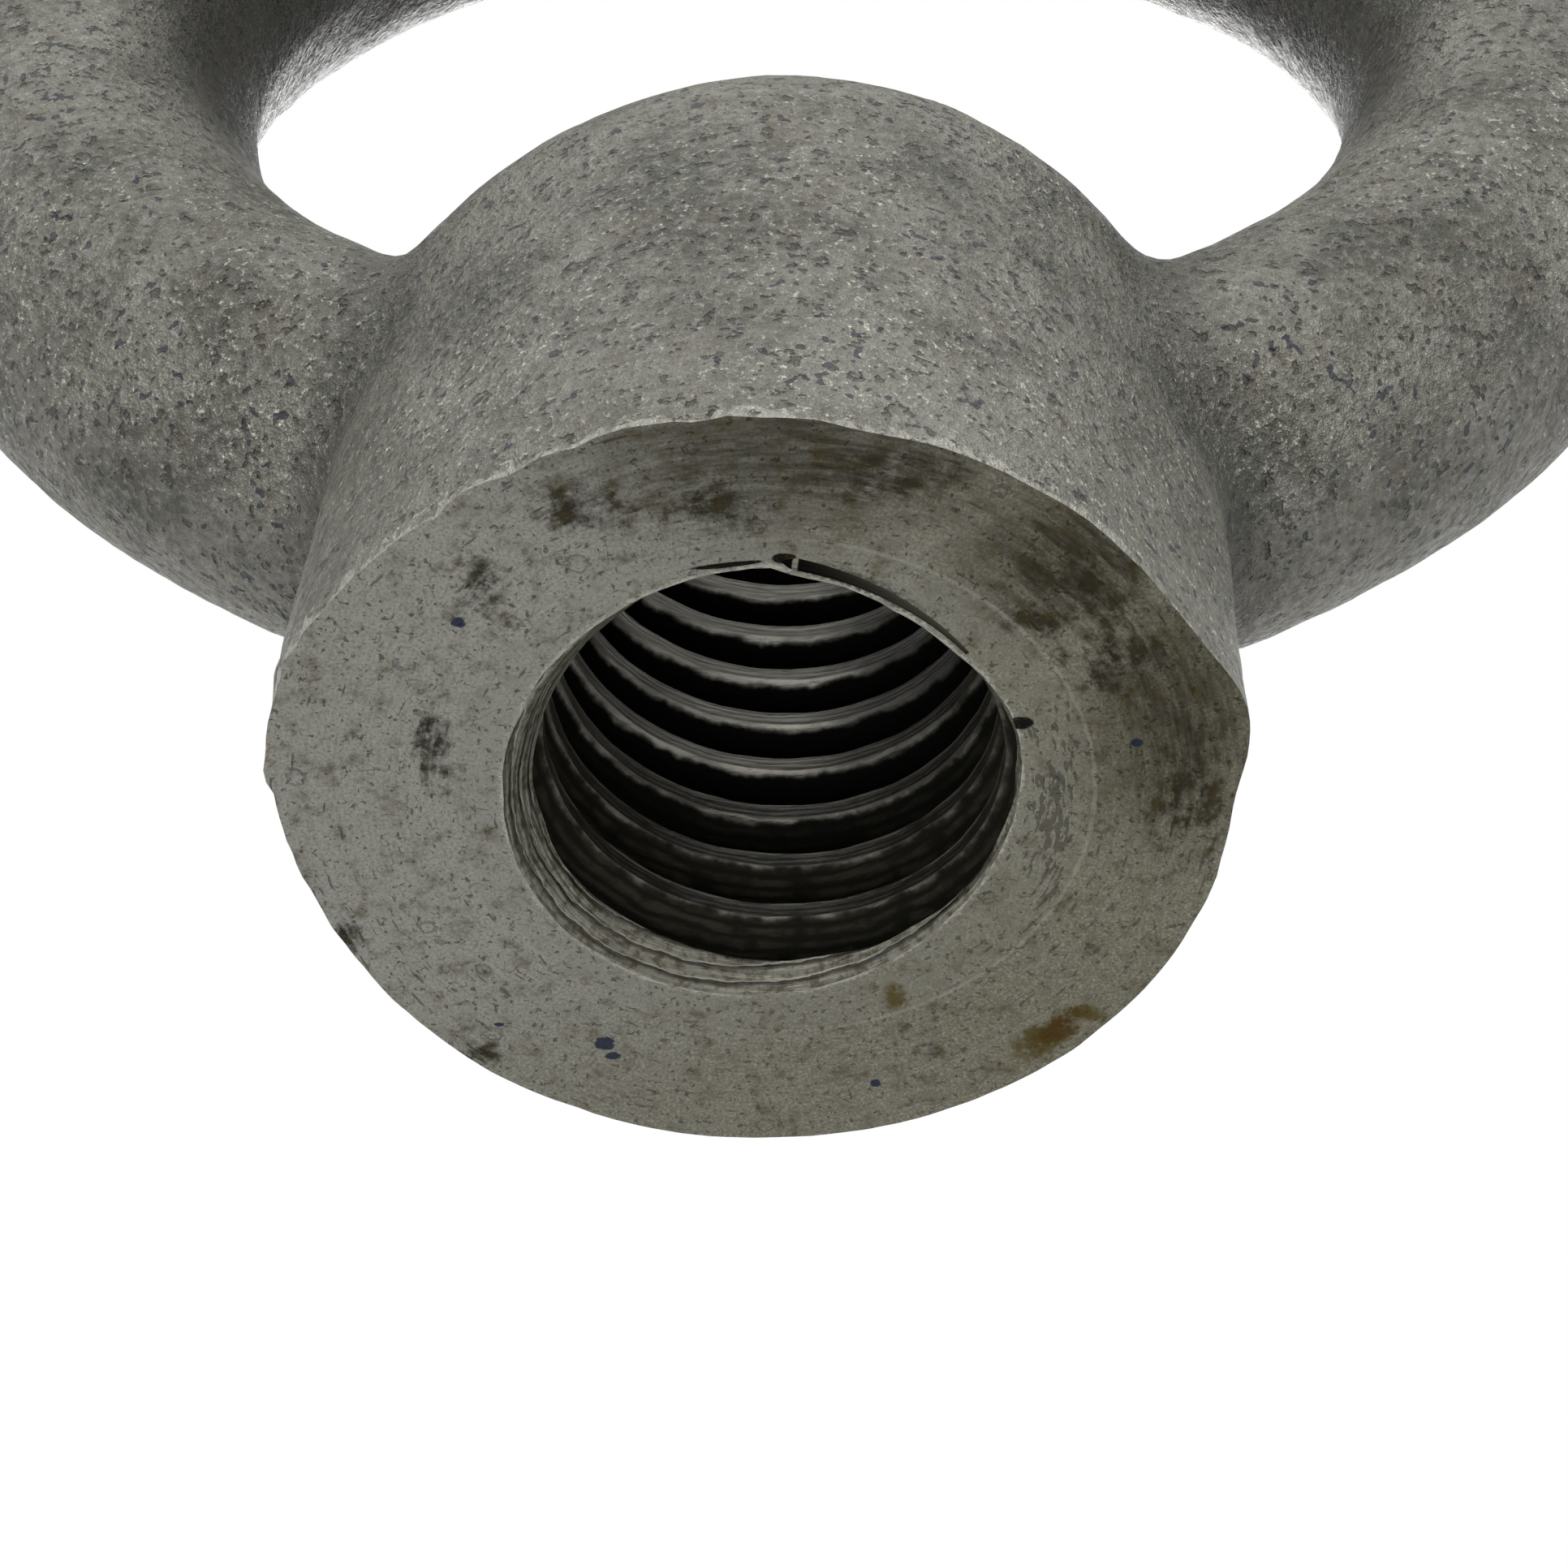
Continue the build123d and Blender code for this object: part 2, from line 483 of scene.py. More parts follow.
def mouth_edge(tree, cosine, sine):
    """Radius of the countersink at the bearing face, in the direction (cosine, sine)."""
    double = node(tree, "ShaderNodeMath", (cosine, cosine), operation="MULTIPLY")
    mixed = node(tree, "ShaderNodeMath", (sine, cosine), operation="MULTIPLY")
    edge = mouth_radius - mouth_lobes[0]
    for wave, reach in ((cosine, mouth_run[0]), (sine, mouth_run[1]),
                        (double, 2 * mouth_lobes[0]), (mixed, 2 * mouth_lobes[1])):
        edge = node(tree, "ShaderNodeMath", (wave, reach, edge), operation="MULTIPLY_ADD")
    step = lip_step(tree, cosine, sine)
    return node(tree, "ShaderNodeMath", (edge, step), operation="SUBTRACT")


print("mouth:", 2 * mouth_radius, "mm across")

# %% [markdown]
# A thread is one groove that winds up the hole. Geometry Nodes bend a long flat grid into
# it: the grid's length becomes the winding and its width becomes one pitch, so each turn
# meets the turn below it edge to edge. The turns times the points a turn have to be a whole
# number, so that the points of two turns meet.

# %% The winding
tap_sizes = {
    "Turns": 14.5, "Points a Turn": 96, "Points a Pitch": 16,
    "Start": -4.6,                           # height where the winding begins
    "Pitch": 1.75, "Thread Radius": 6.0,     # coarse thread of 12 mm
    "Hole Radius": bore_radius, "Boss Height": boss_height,
    "Exit Break": 0.4,                       # broken edge where the hole ends in the eye
}
tree = bpy.data.node_groups.new("tap", "GeometryNodeTree")
size = name_sizes(tree, tap_sizes)
points_along = node(tree, "ShaderNodeMath", (size["Turns"], size["Points a Turn"], 1.5),
                    operation="MULTIPLY_ADD")
points_across = node(tree, "ShaderNodeMath", (size["Points a Pitch"], 1.0), operation="ADD")
strip = node(tree, "GeometryNodeMeshGrid", {
    "Size X": size["Turns"], "Size Y": 1.0,
    "Vertices X": points_along, "Vertices Y": points_across})
place = node(tree, "GeometryNodeInputPosition")
along, across, _ = node(tree, "ShaderNodeSeparateXYZ", (place,)).outputs
turns = node(tree, "ShaderNodeMath", (size["Turns"], 0.5, along), operation="MULTIPLY_ADD")
pitch_part = node(tree, "ShaderNodeMath", (across, 0.5), operation="ADD")
rise = node(tree, "ShaderNodeMath", (turns, pitch_part), operation="ADD")
height = node(tree, "ShaderNodeMath", (rise, size["Pitch"], size["Start"]),
              operation="MULTIPLY_ADD")
angle = node(tree, "ShaderNodeMath", (turns, 2 * pi), operation="MULTIPLY")
cosine = node(tree, "ShaderNodeMath", (angle,), operation="COSINE")
sine = node(tree, "ShaderNodeMath", (angle,), operation="SINE")
print("winding:", tap_sizes["Turns"] * tap_sizes["Points a Turn"], "points along")

# %% [markdown]
# Across the pitch the radius follows the standard 60 degree form. Of one pitch, the root
# flat is an eighth, each flank five sixteenths, and the crest flat a quarter. The middle of
# the crest lies nine sixteenths from the middle of the root.

# %% The thread's form
crest_middle, crest_end, flank_end = 9 / 16, 2 / 16, 7 / 16
off_crest = node(tree, "ShaderNodeMath", (pitch_part, crest_middle), operation="SUBTRACT")
off_crest = node(tree, "ShaderNodeMath", (off_crest,), operation="ABSOLUTE")
groove = node(tree, "ShaderNodeMapRange", {
    "Value": off_crest, "From Min": crest_end, "From Max": flank_end,
    "To Min": size["Hole Radius"], "To Max": size["Thread Radius"]})
thread_depth = tap_sizes["Thread Radius"] - tap_sizes["Hole Radius"]
print("thread:", round(thread_depth, 2), "mm deep, pitch", tap_sizes["Pitch"])

# %% [markdown]
# Near the mouth the tool widens into the countersink's cone, and in the eye into a broken
# edge. The groove itself comes out no wider than the edge of the mouth.

# %% The mouth and the exit
mouth_widest, exit_widest = 8.0, 7.0         # where the cones end, outside the metal
lip_slope = 1.2                              # how fast the groove may widen from the edge
edge = mouth_edge(tree, cosine, sine)
cone = node(tree, "ShaderNodeMath", (height, -mouth_slope, edge), operation="MULTIPLY_ADD")
cone = node(tree, "ShaderNodeMath", (cone, mouth_widest), operation="MINIMUM")
widest = node(tree, "ShaderNodeMath", (height, lip_slope, edge), operation="MULTIPLY_ADD")
widest = node(tree, "ShaderNodeMath", (widest, cone), operation="MAXIMUM")
groove = node(tree, "ShaderNodeMath", (groove, widest), operation="MINIMUM")
past_crown = node(tree, "ShaderNodeMath", (height, size["Boss Height"]), operation="SUBTRACT")
broken = node(tree, "ShaderNodeMath", (size["Hole Radius"], size["Exit Break"]),
              operation="ADD")
broken = node(tree, "ShaderNodeMath", (past_crown, broken), operation="ADD")
broken = node(tree, "ShaderNodeMath", (broken, exit_widest), operation="MINIMUM")
radius = node(tree, "ShaderNodeMath", (groove, cone), operation="MAXIMUM")
radius = node(tree, "ShaderNodeMath", (radius, broken), operation="MAXIMUM")
print("mouth cone:", round(2 * degrees(atan(mouth_slope))), "degrees")

# %% [markdown]
# The tap tears the steel a little as it turns. A noise moves the radius by a few hundredths
# of a millimetre, drawn out along the winding, and Merge by Distance closes the seam.

# %% Tool marks, and the tap
tear_height = 0.12                           # mm, for the whole swing of the noise
spread_round, spread_up = 6.0, 3.0           # the noise is twice as fine in height
tear_x = node(tree, "ShaderNodeMath", (cosine, spread_round), operation="MULTIPLY")
tear_y = node(tree, "ShaderNodeMath", (sine, spread_round), operation="MULTIPLY")
tear_z = node(tree, "ShaderNodeMath", (height, spread_up), operation="MULTIPLY")
tear = node(tree, "ShaderNodeCombineXYZ", (tear_x, tear_y, tear_z))
tear = node(tree, "ShaderNodeTexNoise", {"Vector": tear, "Scale": 0.9, "Detail": 4.0})
tear = node(tree, "ShaderNodeMath", (tear, -0.5), operation="ADD")
radius = node(tree, "ShaderNodeMath", (tear, tear_height, radius), operation="MULTIPLY_ADD")
wound_x = node(tree, "ShaderNodeMath", (radius, cosine), operation="MULTIPLY")
wound_y = node(tree, "ShaderNodeMath", (radius, sine), operation="MULTIPLY")
wound = node(tree, "ShaderNodeCombineXYZ", (wound_x, wound_y, height))
wound = node(tree, "GeometryNodeSetPosition", {"Geometry": strip, "Position": wound})
closed = node(tree, "GeometryNodeMergeByDistance", {"Geometry": wound, "Distance": 1e-4})
finish_tree(tree, closed, thread_steel)
tap = made_by(tree, "tap", tap_sizes)
turned_outwards(tap)
print("tap:", len(tap.data.polygons), "faces")

# %% [markdown]
# Where the tap's first groove comes out at the face, it leaves a thin lip of metal with a
# dark crescent behind it. The crescent is cut by a bent, tapering rod: a curve that Curve
# to Mesh gives a round section, wider at one end. The rod lies just above the face, so
# that none of its points falls in the face's plane, where a Boolean is unsure.

# %% The crescent behind the lip
crescent_sizes = {
    "Radius": 6.56, "Start Angle": radians(-79.0), "Sweep Angle": radians(41.0),
    "Thick End": 0.17, "Thin End": 0.06,     # radii of the rod
    "Point": 0.06,                           # share of its length that comes to a point
    "Centre": Vector((-1.06, 0.02, 0.037)),
}
tree = bpy.data.node_groups.new("crescent", "GeometryNodeTree")
size = name_sizes(tree, crescent_sizes)
bend = node(tree, "GeometryNodeCurveArc", {
    "Resolution": 40, "Radius": size["Radius"], "Start Angle": size["Start Angle"],
    "Sweep Angle": size["Sweep Angle"]})
along = node(tree, "GeometryNodeSplineParameter").outputs["Factor"]
taper = node(tree, "ShaderNodeMapRange", {
    "Value": along, "From Min": size["Point"], "To Min": size["Thick End"],
    "To Max": size["Thin End"]})
point = node(tree, "ShaderNodeMapRange", {
    "Value": along, "From Max": size["Point"], "To Min": 0.1})
taper = node(tree, "ShaderNodeMath", (taper, point), operation="MULTIPLY")
section = node(tree, "GeometryNodeCurvePrimitiveCircle", {"Resolution": 9, "Radius": 1.0})
rod = node(tree, "GeometryNodeCurveToMesh", {
    "Curve": bend, "Profile Curve": section, "Scale": taper, "Fill Caps": True})
rod = node(tree, "GeometryNodeTransform", {"Geometry": rod, "Translation": size["Centre"]})
finish_tree(tree, rod, thread_steel)
crescent = made_by(tree, "crescent", crescent_sizes)
turned_outwards(crescent)
print("crescent:", len(crescent.data.polygons), "faces")

# %% [markdown]
# ## Colours and the space of the patterns
#
# Colours are written as the hex values that a screen shows, and one function turns them to
# the linear numbers that a shader needs. All patterns read Object coordinates, scaled so
# that one unit is one millimetre. A noise of scale 1 then has grains about a millimetre
# wide, so the scale for any grain is one divided by its width.

# %% Linear colour, and a point's place in millimetres
def linear(hex_code, alpha=1.0):
    """An sRGB hex colour as linear red, green, blue and alpha."""
    parts = [int(hex_code[i:i + 2], 16) / 255 for i in (1, 3, 5)]
    return tuple(c / 12.92 if c <= 0.04045 else ((c + 0.055) / 1.055) ** 2.4
                 for c in parts) + (alpha,)


def emptied(owner):
    """The node tree of a material or of the world, with its first nodes taken out."""
    owner.use_nodes = True
    owner.node_tree.nodes.clear()
    return owner.node_tree


def place_on_nut(tree):
    """The place of a point on the nut, in millimetres."""
    place = node(tree, "ShaderNodeTexCoord").outputs["Object"]
    return node(tree, "ShaderNodeVectorMath", {"Vector": place, "Scale": 1 / MM},
                operation="SCALE")


print("mid grey #808080 is", [round(c, 3) for c in linear("#808080")[:3]])

# %% [markdown]
# A finish is built up as a painter would: a ground colour first, then one tint over the
# other. Each tint has a share, which says where it lies and how much it covers. Most
# shares come from a noise: Map Range gives 0 where the noise is at one level and 1 where
# it is at another, and so picks out its hills or its hollows.
#
# All three finishes end in the same shader. Clean steel has Metallic 1, but this steel
# wears a skin of oxide and dried oil, which scatters light, so most of its look is
# diffuse and Metallic comes down to 0.3. The IOR stays as it is. Roughness starts from
# 0.35, which is usual for cut steel, and rises where the surface is dull.

# %% Tints, and the shader that all three surfaces share
dull_metal = 0.3


def coated(tree, colour, tint, share, strength=1.0):
    """Lays a tint over a colour by a share from 0 to 1."""
    share = node(tree, "ShaderNodeMath", (share, strength), operation="MULTIPLY")
    return node(tree, "ShaderNodeMix", (share, colour, linear(tint)), data_type="RGBA")


def tinted(tree, colour, tint, pattern, starts, full, strength=1.0):
    """Lays a tint over a colour where a pattern goes from one level to another."""
    share = node(tree, "ShaderNodeMapRange", (pattern, starts, full),
                 interpolation_type="SMOOTHSTEP")
    return coated(tree, colour, tint, share, strength)


def finish_steel(tree, colour, relief, depth, rough, gloss):
    """Ends a material: dull steel with a relief so many millimetres deep."""
    bump = node(tree, "ShaderNodeBump", {
        "Strength": 1.0, "Distance": depth * MM, "Height": relief})
    steel = node(tree, "ShaderNodeBsdfPrincipled", {
        "Base Color": colour, "Metallic": dull_metal, "Roughness": rough,
        "Specular IOR Level": gloss, "Normal": bump})
    node(tree, "ShaderNodeOutputMaterial", (steel,))


print("all three finishes have Metallic", dull_metal)

# %% [markdown]
# ## Grit-blasted forging skin
#
# Carbon steel, drop forged and then blasted with steel grit. The grit leaves a skin of
# small dents with sharp lips, about 0.2 to 0.3 mm across, so the metal looks dull grey
# from afar and glints grain by grain from near. Each noise has the width that it has on
# the metal.

# %% The skin's patterns
skin_patterns = {                            # width in mm, detail and roughness
    "sparkle": (0.1923, 2.0, 0.85),          # sharp lips of the dents, and their painted glints
    "grain": (0.2941, 3.0, 0.70),            # the dents
    "paint": (0.3226, 1.0, 0.50),            # flecks from the shop
    "specks": (0.4167, 2.0, 0.70),           # pits
    "rim_highlight": (0.5, 2.0, 0.60),                # edge of the painted highlight on the burred rim
    "warm": (1.111, 3.0, 0.60),              # first rust
    "patches": (3.571, 4.0, 0.65),           # where the grit struck more or less often
    "highlight_patches": (5.882, 1.0, 0.50),            # where the painted glints gather
}
tree = emptied(skin_steel)
place = place_on_nut(tree)
x, y, height = node(tree, "ShaderNodeSeparateXYZ", (place,)).outputs
skin = {name: node(tree, "ShaderNodeTexNoise", {
    "Vector": place, "Scale": 1 / width, "Detail": detail, "Roughness": roughness})
    for name, (width, detail, roughness) in skin_patterns.items()}
print("skin patterns:", ", ".join(skin))

# %% [markdown]
# The ground colour is a mid grey that varies from patch to patch. On it the lips of the
# dents are lighter and their hollows darker.

# %% Grey steel, lighter and darker by patch and by grain
colour = tinted(tree, linear("#5e5e55"), "#8e8d83", skin["patches"], 0.34, 0.64)
colour = tinted(tree, colour, "#b5b3a8", skin["grain"], 0.46, 0.70, 0.40)
colour = tinted(tree, colour, "#4a4943", skin["grain"], 0.50, 0.32, 0.45)
print("skin ground:", len(tree.nodes), "nodes")

# %% [markdown]
# A fresh lip glints almost white in the light. A bump alone can't show it, because a glint this
# small is lost between two samples, so the glints are painted highlights in the colour. They are
# most frequent low on the front of the boss, which is also painted lighter there, as lit by the key
# lamp.

# %% Painted glints, and painted light low on the front
low_part = node(tree, "ShaderNodeMapRange", (height, 8.0, 1.0), interpolation_type="SMOOTHSTEP")
front_part = node(tree, "ShaderNodeMapRange", (y, -2.0, -8.0), interpolation_type="SMOOTHSTEP")
lit_foot = node(tree, "ShaderNodeMath", (low_part, front_part), operation="MULTIPLY")
# painted light: the front of the foot is lightened as if lit by the key lamp
colour = coated(tree, colour, "#b5b3a8", lit_foot, 0.22)
glint_share = node(tree, "ShaderNodeMapRange", (skin["highlight_patches"], 0.40, 0.58, 0.30, 0.95),
             interpolation_type="SMOOTHSTEP")
glint_share = node(tree, "ShaderNodeMath", (lit_foot, 0.35, glint_share), operation="MULTIPLY_ADD")
glint_spots = node(tree, "ShaderNodeMapRange", (skin["sparkle"], 0.56, 0.74),
            interpolation_type="SMOOTHSTEP")
glints = node(tree, "ShaderNodeMath", (glint_spots, glint_share), operation="MULTIPLY")
# painted highlights: the glints are drawn as near-white colour
colour = coated(tree, colour, "#ebe8d8", glints)
print("glints of", skin_patterns["sparkle"][0], "mm")

# %% [markdown]
# Warm stains are the first bloom of rust, and the pits hold black scale. Blue-black specks
# of paint from the shop cling to the skin, and they crowd where the patches are palest.

# %% Warm stains, pits and flecks of paint
colour = tinted(tree, colour, "#6e6150", skin["warm"], 0.50, 0.70, 0.3)
pits = node(tree, "ShaderNodeMapRange", (skin["specks"], 0.60, 0.68),
            interpolation_type="SMOOTHSTEP")
colour = coated(tree, colour, "#2e2e2b", pits, 0.6)
level = node(tree, "ShaderNodeMath", (skin["patches"], -0.35, 0.87), operation="MULTIPLY_ADD")
fleck = node(tree, "ShaderNodeMath", (skin["paint"], level), operation="GREATER_THAN")
colour = coated(tree, colour, "#262a3a", fleck, 0.8)
print("pits of", skin_patterns["specks"][0], "mm, flecks of", skin_patterns["paint"][0], "mm")

# %% [markdown]
# Where the facing cut breaks the skin, the edge is burred, and a painted highlight lies along it
# where the burr catches the light. Its upper limit wanders by a few tenths of a millimetre, so it
# reads as torn metal and not as a drawn line, and it is brightest on the side towards the key lamp.

# %% The burred rim, with a painted highlight
burr_top = node(tree, "ShaderNodeMath", (skin["rim_highlight"], 1.8, -0.74), operation="MULTIPLY_ADD")
over = node(tree, "ShaderNodeMath", (height, burr_top), operation="SUBTRACT")
at_rim = node(tree, "ShaderNodeMapRange", (over, 0.10, -0.12), interpolation_type="SMOOTHSTEP")
key_side = node(tree, "ShaderNodeMath", (x, 0.35, y), operation="MULTIPLY_ADD")
key_side = node(tree, "ShaderNodeMapRange", (key_side, 2.0, -7.0, 0.2, 0.85),
                 interpolation_type="SMOOTHSTEP")
rim_highlight = node(tree, "ShaderNodeMath", (at_rim, key_side), operation="MULTIPLY")
# painted highlight along the burred rim
colour = coated(tree, colour, "#c8c6bb", rim_highlight)
print("rim: burr of", skin_patterns["rim_highlight"][0], "mm")

# %% [markdown]
# Inside the eye, high on the ring, the colour is painted dark as shade, because little light
# reaches there. The inside is found by distance from the eye's centre.

# %% Painted shade inside the eye
upper = node(tree, "ShaderNodeMath", (height, -eye_height), operation="ADD")
in_plane = node(tree, "ShaderNodeCombineXYZ", (x, 0.0, upper))
from_eye = node(tree, "ShaderNodeVectorMath", (in_plane,), operation="LENGTH")
inner = node(tree, "ShaderNodeMapRange", (from_eye, ring_radius - 1.5, ring_radius - stock_radius),
             interpolation_type="SMOOTHSTEP")
above = node(tree, "ShaderNodeMapRange", (height, boss_height + 1.0, boss_height + 9.0),
             interpolation_type="SMOOTHSTEP")
eye_shade = node(tree, "ShaderNodeMath", (inner, above), operation="MULTIPLY")
# painted shade inside the eye
colour = coated(tree, colour, "#282722", eye_shade, 0.9)
print("scale lies above", boss_height, "mm")

# %% [markdown]
# The hollow between boss and ring is painted darker, as shade. A point lies in the hollow when it
# is near the stock and near the boss at once, so the two distances are added.

# %% Painted shade in the hollow
from_ring = node(tree, "ShaderNodeMath", (from_eye, -ring_radius), operation="ADD")
section = node(tree, "ShaderNodeCombineXYZ", (from_ring, y, 0.0))
off_stock = node(tree, "ShaderNodeVectorMath", (section,), operation="LENGTH")
off_stock = node(tree, "ShaderNodeMath", (off_stock, -stock_radius), operation="ADD")
off_stock = node(tree, "ShaderNodeMath", (off_stock,), operation="ABSOLUTE")
flat = node(tree, "ShaderNodeCombineXYZ", (x, y, 0.0))
off_boss = node(tree, "ShaderNodeVectorMath", (flat,), operation="LENGTH")
off_boss = node(tree, "ShaderNodeMath", (off_boss, -boss_radius), operation="ADD")
off_boss = node(tree, "ShaderNodeMath", (off_boss,), operation="ABSOLUTE")
crease_shade = node(tree, "ShaderNodeMath", (off_stock, off_boss), operation="ADD")
# painted shade in the crease between boss and ring
colour = tinted(tree, colour, "#3e3d37", crease_shade, 2.0, 0.5, 0.45)
print("hollow grime:", len(tree.nodes), "nodes")

# %% [markdown]
# The dents are a relief of 0.32 mm, which is deeper than real ones so that it shows from
# here. The lips are polished and the hollows dull, so the same grain drives the
# roughness. Where shade is painted inside the eye, the skin loses the mirror part of its light as
# well.

# %% Dents, gloss and the finished skin
relief = node(tree, "ShaderNodeMath", (skin["sparkle"], 0.40, skin["grain"]),
              operation="MULTIPLY_ADD")
relief = node(tree, "ShaderNodeMath", (pits, -0.5, relief), operation="MULTIPLY_ADD")
rough = node(tree, "ShaderNodeMapRange", (skin["grain"], 0.3, 0.7, 0.55, 0.34),
             interpolation_type="SMOOTHSTEP")
gloss = node(tree, "ShaderNodeMapRange", (eye_shade, 0.0, 1.0, 0.5, 0.2),
             interpolation_type="SMOOTHSTEP")
finish_steel(tree, colour, relief, 0.32, rough, gloss)
print(skin_steel.name, "has", len(tree.nodes), "nodes")

# %% [markdown]
# ## Turned bearing face
#
# The same steel, cut flat on a lathe. The tool leaves circles about 0.1 mm apart, which the
# eye sees as a soft sheen more than as lines. Cutting oil has dried on it in brown smudges,
# and rust has started where a wet hand or a drop of water stood.
#
# The face is flat, so its noises are flat too. Each has a place of its own in the noise, a
# number of millimetres away, so that no two follow each other. The frost of 0.08 mm stands
# for grain that is too fine to draw.

# %% The face's patterns
face_patterns = {                            # width in mm, detail, roughness and place
    "frost": (0.07692, 2.0, 0.7, 10.0),      # the finest grain that still shows
    "grain": (0.1429, 2.0, 0.6, 0.0),        # grain of the cut
    "paint": (0.2, 2.0, 0.6, 0.0),           # broken edge of a paint fleck
    "dots": (0.2381, 3.0, 0.7, 80.0),        # dots of rust
    "brown": (0.2941, 3.0, 0.7, 30.0),       # brown dots below the mouth
    "gaps": (0.5882, 1.0, 0.5, 60.0),        # gaps in the hairs
    "mottle": (0.6667, 4.0, 0.7, 0.0),       # mottle of dried oil
    "hairs": (0.8333, 1.0, 0.5, 40.0),       # loops of the hairs
    "clouds": (2.0, 2.0, 0.5, 20.0),         # slow change from side to side
}
tree = emptied(face_steel)
place = place_on_nut(tree)
face = {}
for name, (width, detail, roughness, moved) in face_patterns.items():
    there = node(tree, "ShaderNodeVectorMath", (place, (moved, moved, 0.0)))
    face[name] = node(tree, "ShaderNodeTexNoise", {
        "Vector": there, "Scale": 1 / width, "Detail": detail, "Roughness": roughness},
        noise_dimensions="2D")
print("face patterns:", ", ".join(face))

# %% [markdown]
# The lathe's circles depend only on the radius, so their noise has one dimension. A hand
# or a rag wipes oil along them. The noise for that is drawn out the same way: its place is
# made of the direction from the axis and of the radius, so it comes out 0.2 mm wide and
# about a millimetre long, and it bends round the hole.

# %% Circles and wiped streaks
circle_spacing, streak_width = 0.1111, 0.2222  # mm
streaks_round = 7.0                          # the higher, the shorter the streaks
x, y, _ = node(tree, "ShaderNodeSeparateXYZ", (place,)).outputs
flat = node(tree, "ShaderNodeVectorMath", (place, (1.0, 1.0, 0.0)), operation="MULTIPLY")
radius = node(tree, "ShaderNodeVectorMath", (flat,), operation="LENGTH")
circles = node(tree, "ShaderNodeTexNoise", {
    "W": radius, "Scale": 1 / circle_spacing, "Detail": 2.0, "Roughness": 0.7},
    noise_dimensions="1D")
way = node(tree, "ShaderNodeVectorMath", (flat,), operation="NORMALIZE")
way_x, way_y, _ = node(tree, "ShaderNodeSeparateXYZ", (way,)).outputs
streak_x = node(tree, "ShaderNodeMath", (way_x, streaks_round), operation="MULTIPLY")
streak_y = node(tree, "ShaderNodeMath", (way_y, streaks_round), operation="MULTIPLY")
streak_z = node(tree, "ShaderNodeMath", (radius, 1 / streak_width), operation="MULTIPLY")
streak_place = node(tree, "ShaderNodeCombineXYZ", (streak_x, streak_y, streak_z))
wiped = node(tree, "ShaderNodeTexNoise", {
    "Vector": streak_place, "Scale": 1.0, "Detail": 3.0, "Roughness": 0.7})
print("circles", round(circle_spacing, 2), "mm apart, streaks", round(streak_width, 2), "mm wide")

# %% [markdown]
# The cut steel is a light grey, greyer on one side and browner on the other, where old
# oil has dried to a film.

# %% Clean steel
leaning = node(tree, "ShaderNodeMath", (x, -4.0), operation="ADD")
browner = node(tree, "ShaderNodeMath", (face["clouds"], 8.0, leaning), operation="MULTIPLY_ADD")
colour = tinted(tree, linear("#a3a299"), "#89866f", browner, -5.0, 8.0)
lower = node(tree, "ShaderNodeMath", (x, 0.4, y), operation="MULTIPLY_ADD")
colour = tinted(tree, colour, "#76735b", lower, 1.0, 9.0, 0.75)
for tint, pattern, starts, full, strength in (
        ("#b3b1a6", face["grain"], 0.48, 0.78, 0.45),    # pale grain
        ("#59564b", circles, 0.52, 0.30, 0.16),          # grooves of the cut
        ("#b5b3a8", circles, 0.54, 0.72, 0.12),          # and their ridges
        ("#c9c7bb", face["frost"], 0.50, 0.72, 0.40),    # frost
        ("#4d4a3c", face["frost"], 0.48, 0.30, 0.40)):   # and its hollows
    colour = tinted(tree, colour, tint, pattern, starts, full, strength)
print("clean steel:", len(tree.nodes), "nodes")

# %% [markdown]
# Wear has a place on the face, so each mark is an oval at a place, with a reach each way
# and a turn. It is 1 in its middle and falls to 0 at its edge. The patterns then eat into
# that edge, so no mark shows its outline.

# %% Marks on the face
def near(tree, place, x, y, reach_x, reach_y, turn=0.0):
    """1 at a place on the face and 0 beyond its reach, in millimetres and degrees."""
    offset = node(tree, "ShaderNodeMapping", {
        "Vector": place, "Location": (x, y, 0.0), "Rotation": (0.0, 0.0, radians(turn)),
        "Scale": (reach_x, reach_y, 1.0)}, vector_type="TEXTURE")
    far = node(tree, "ShaderNodeVectorMath", (offset,), operation="LENGTH")
    return node(tree, "ShaderNodeMapRange", (far, 1.0, 0.0), interpolation_type="SMOOTHSTEP")


def spots(tree, place, *marks):
    """1 over any of the marks, each (x, y, reach x, reach y) and, if it is turned, a turn."""
    total = near(tree, place, *marks[0])
    for mark in marks[1:]:
        here = near(tree, place, *mark)
        total = node(tree, "ShaderNodeMath", (total, here), operation="MAXIMUM")
    return total


film = spots(tree, place, (0.5, -9.3, 8.5, 3.9), (8.6, -2.5, 3.4, 6.0), (6.0, -6.5, 4.0, 3.5))
pools = spots(tree, place, (-3.9, -7.8, 2.2, 1.3), (-1.2, -7.9, 2.2, 1.4),
              (2.4, -8.6, 3.4, 1.3), (-6.0, -5.8, 0.8, 1.7), (6.4, -5.9, 3.2, 2.2, 40.0),
              (9.0, -0.4, 1.6, 3.8), (7.4, -3.8, 2.4, 1.8), (5.5, -4.9, 1.6, 1.2),
              (-7.3, -1.5, 0.9, 2.2), (-9.5, 3.9, 0.8, 1.2), (-6.8, 7.6, 1.2, 0.8))
print("oil film and pools:", len(tree.nodes), "nodes")

# %% [markdown]
# A thin film of dried oil covers one side, broken into streaks where it was wiped. Where
# oil pooled it is dark, and darkest in the middle of a pool. Brown mottle lies over all.

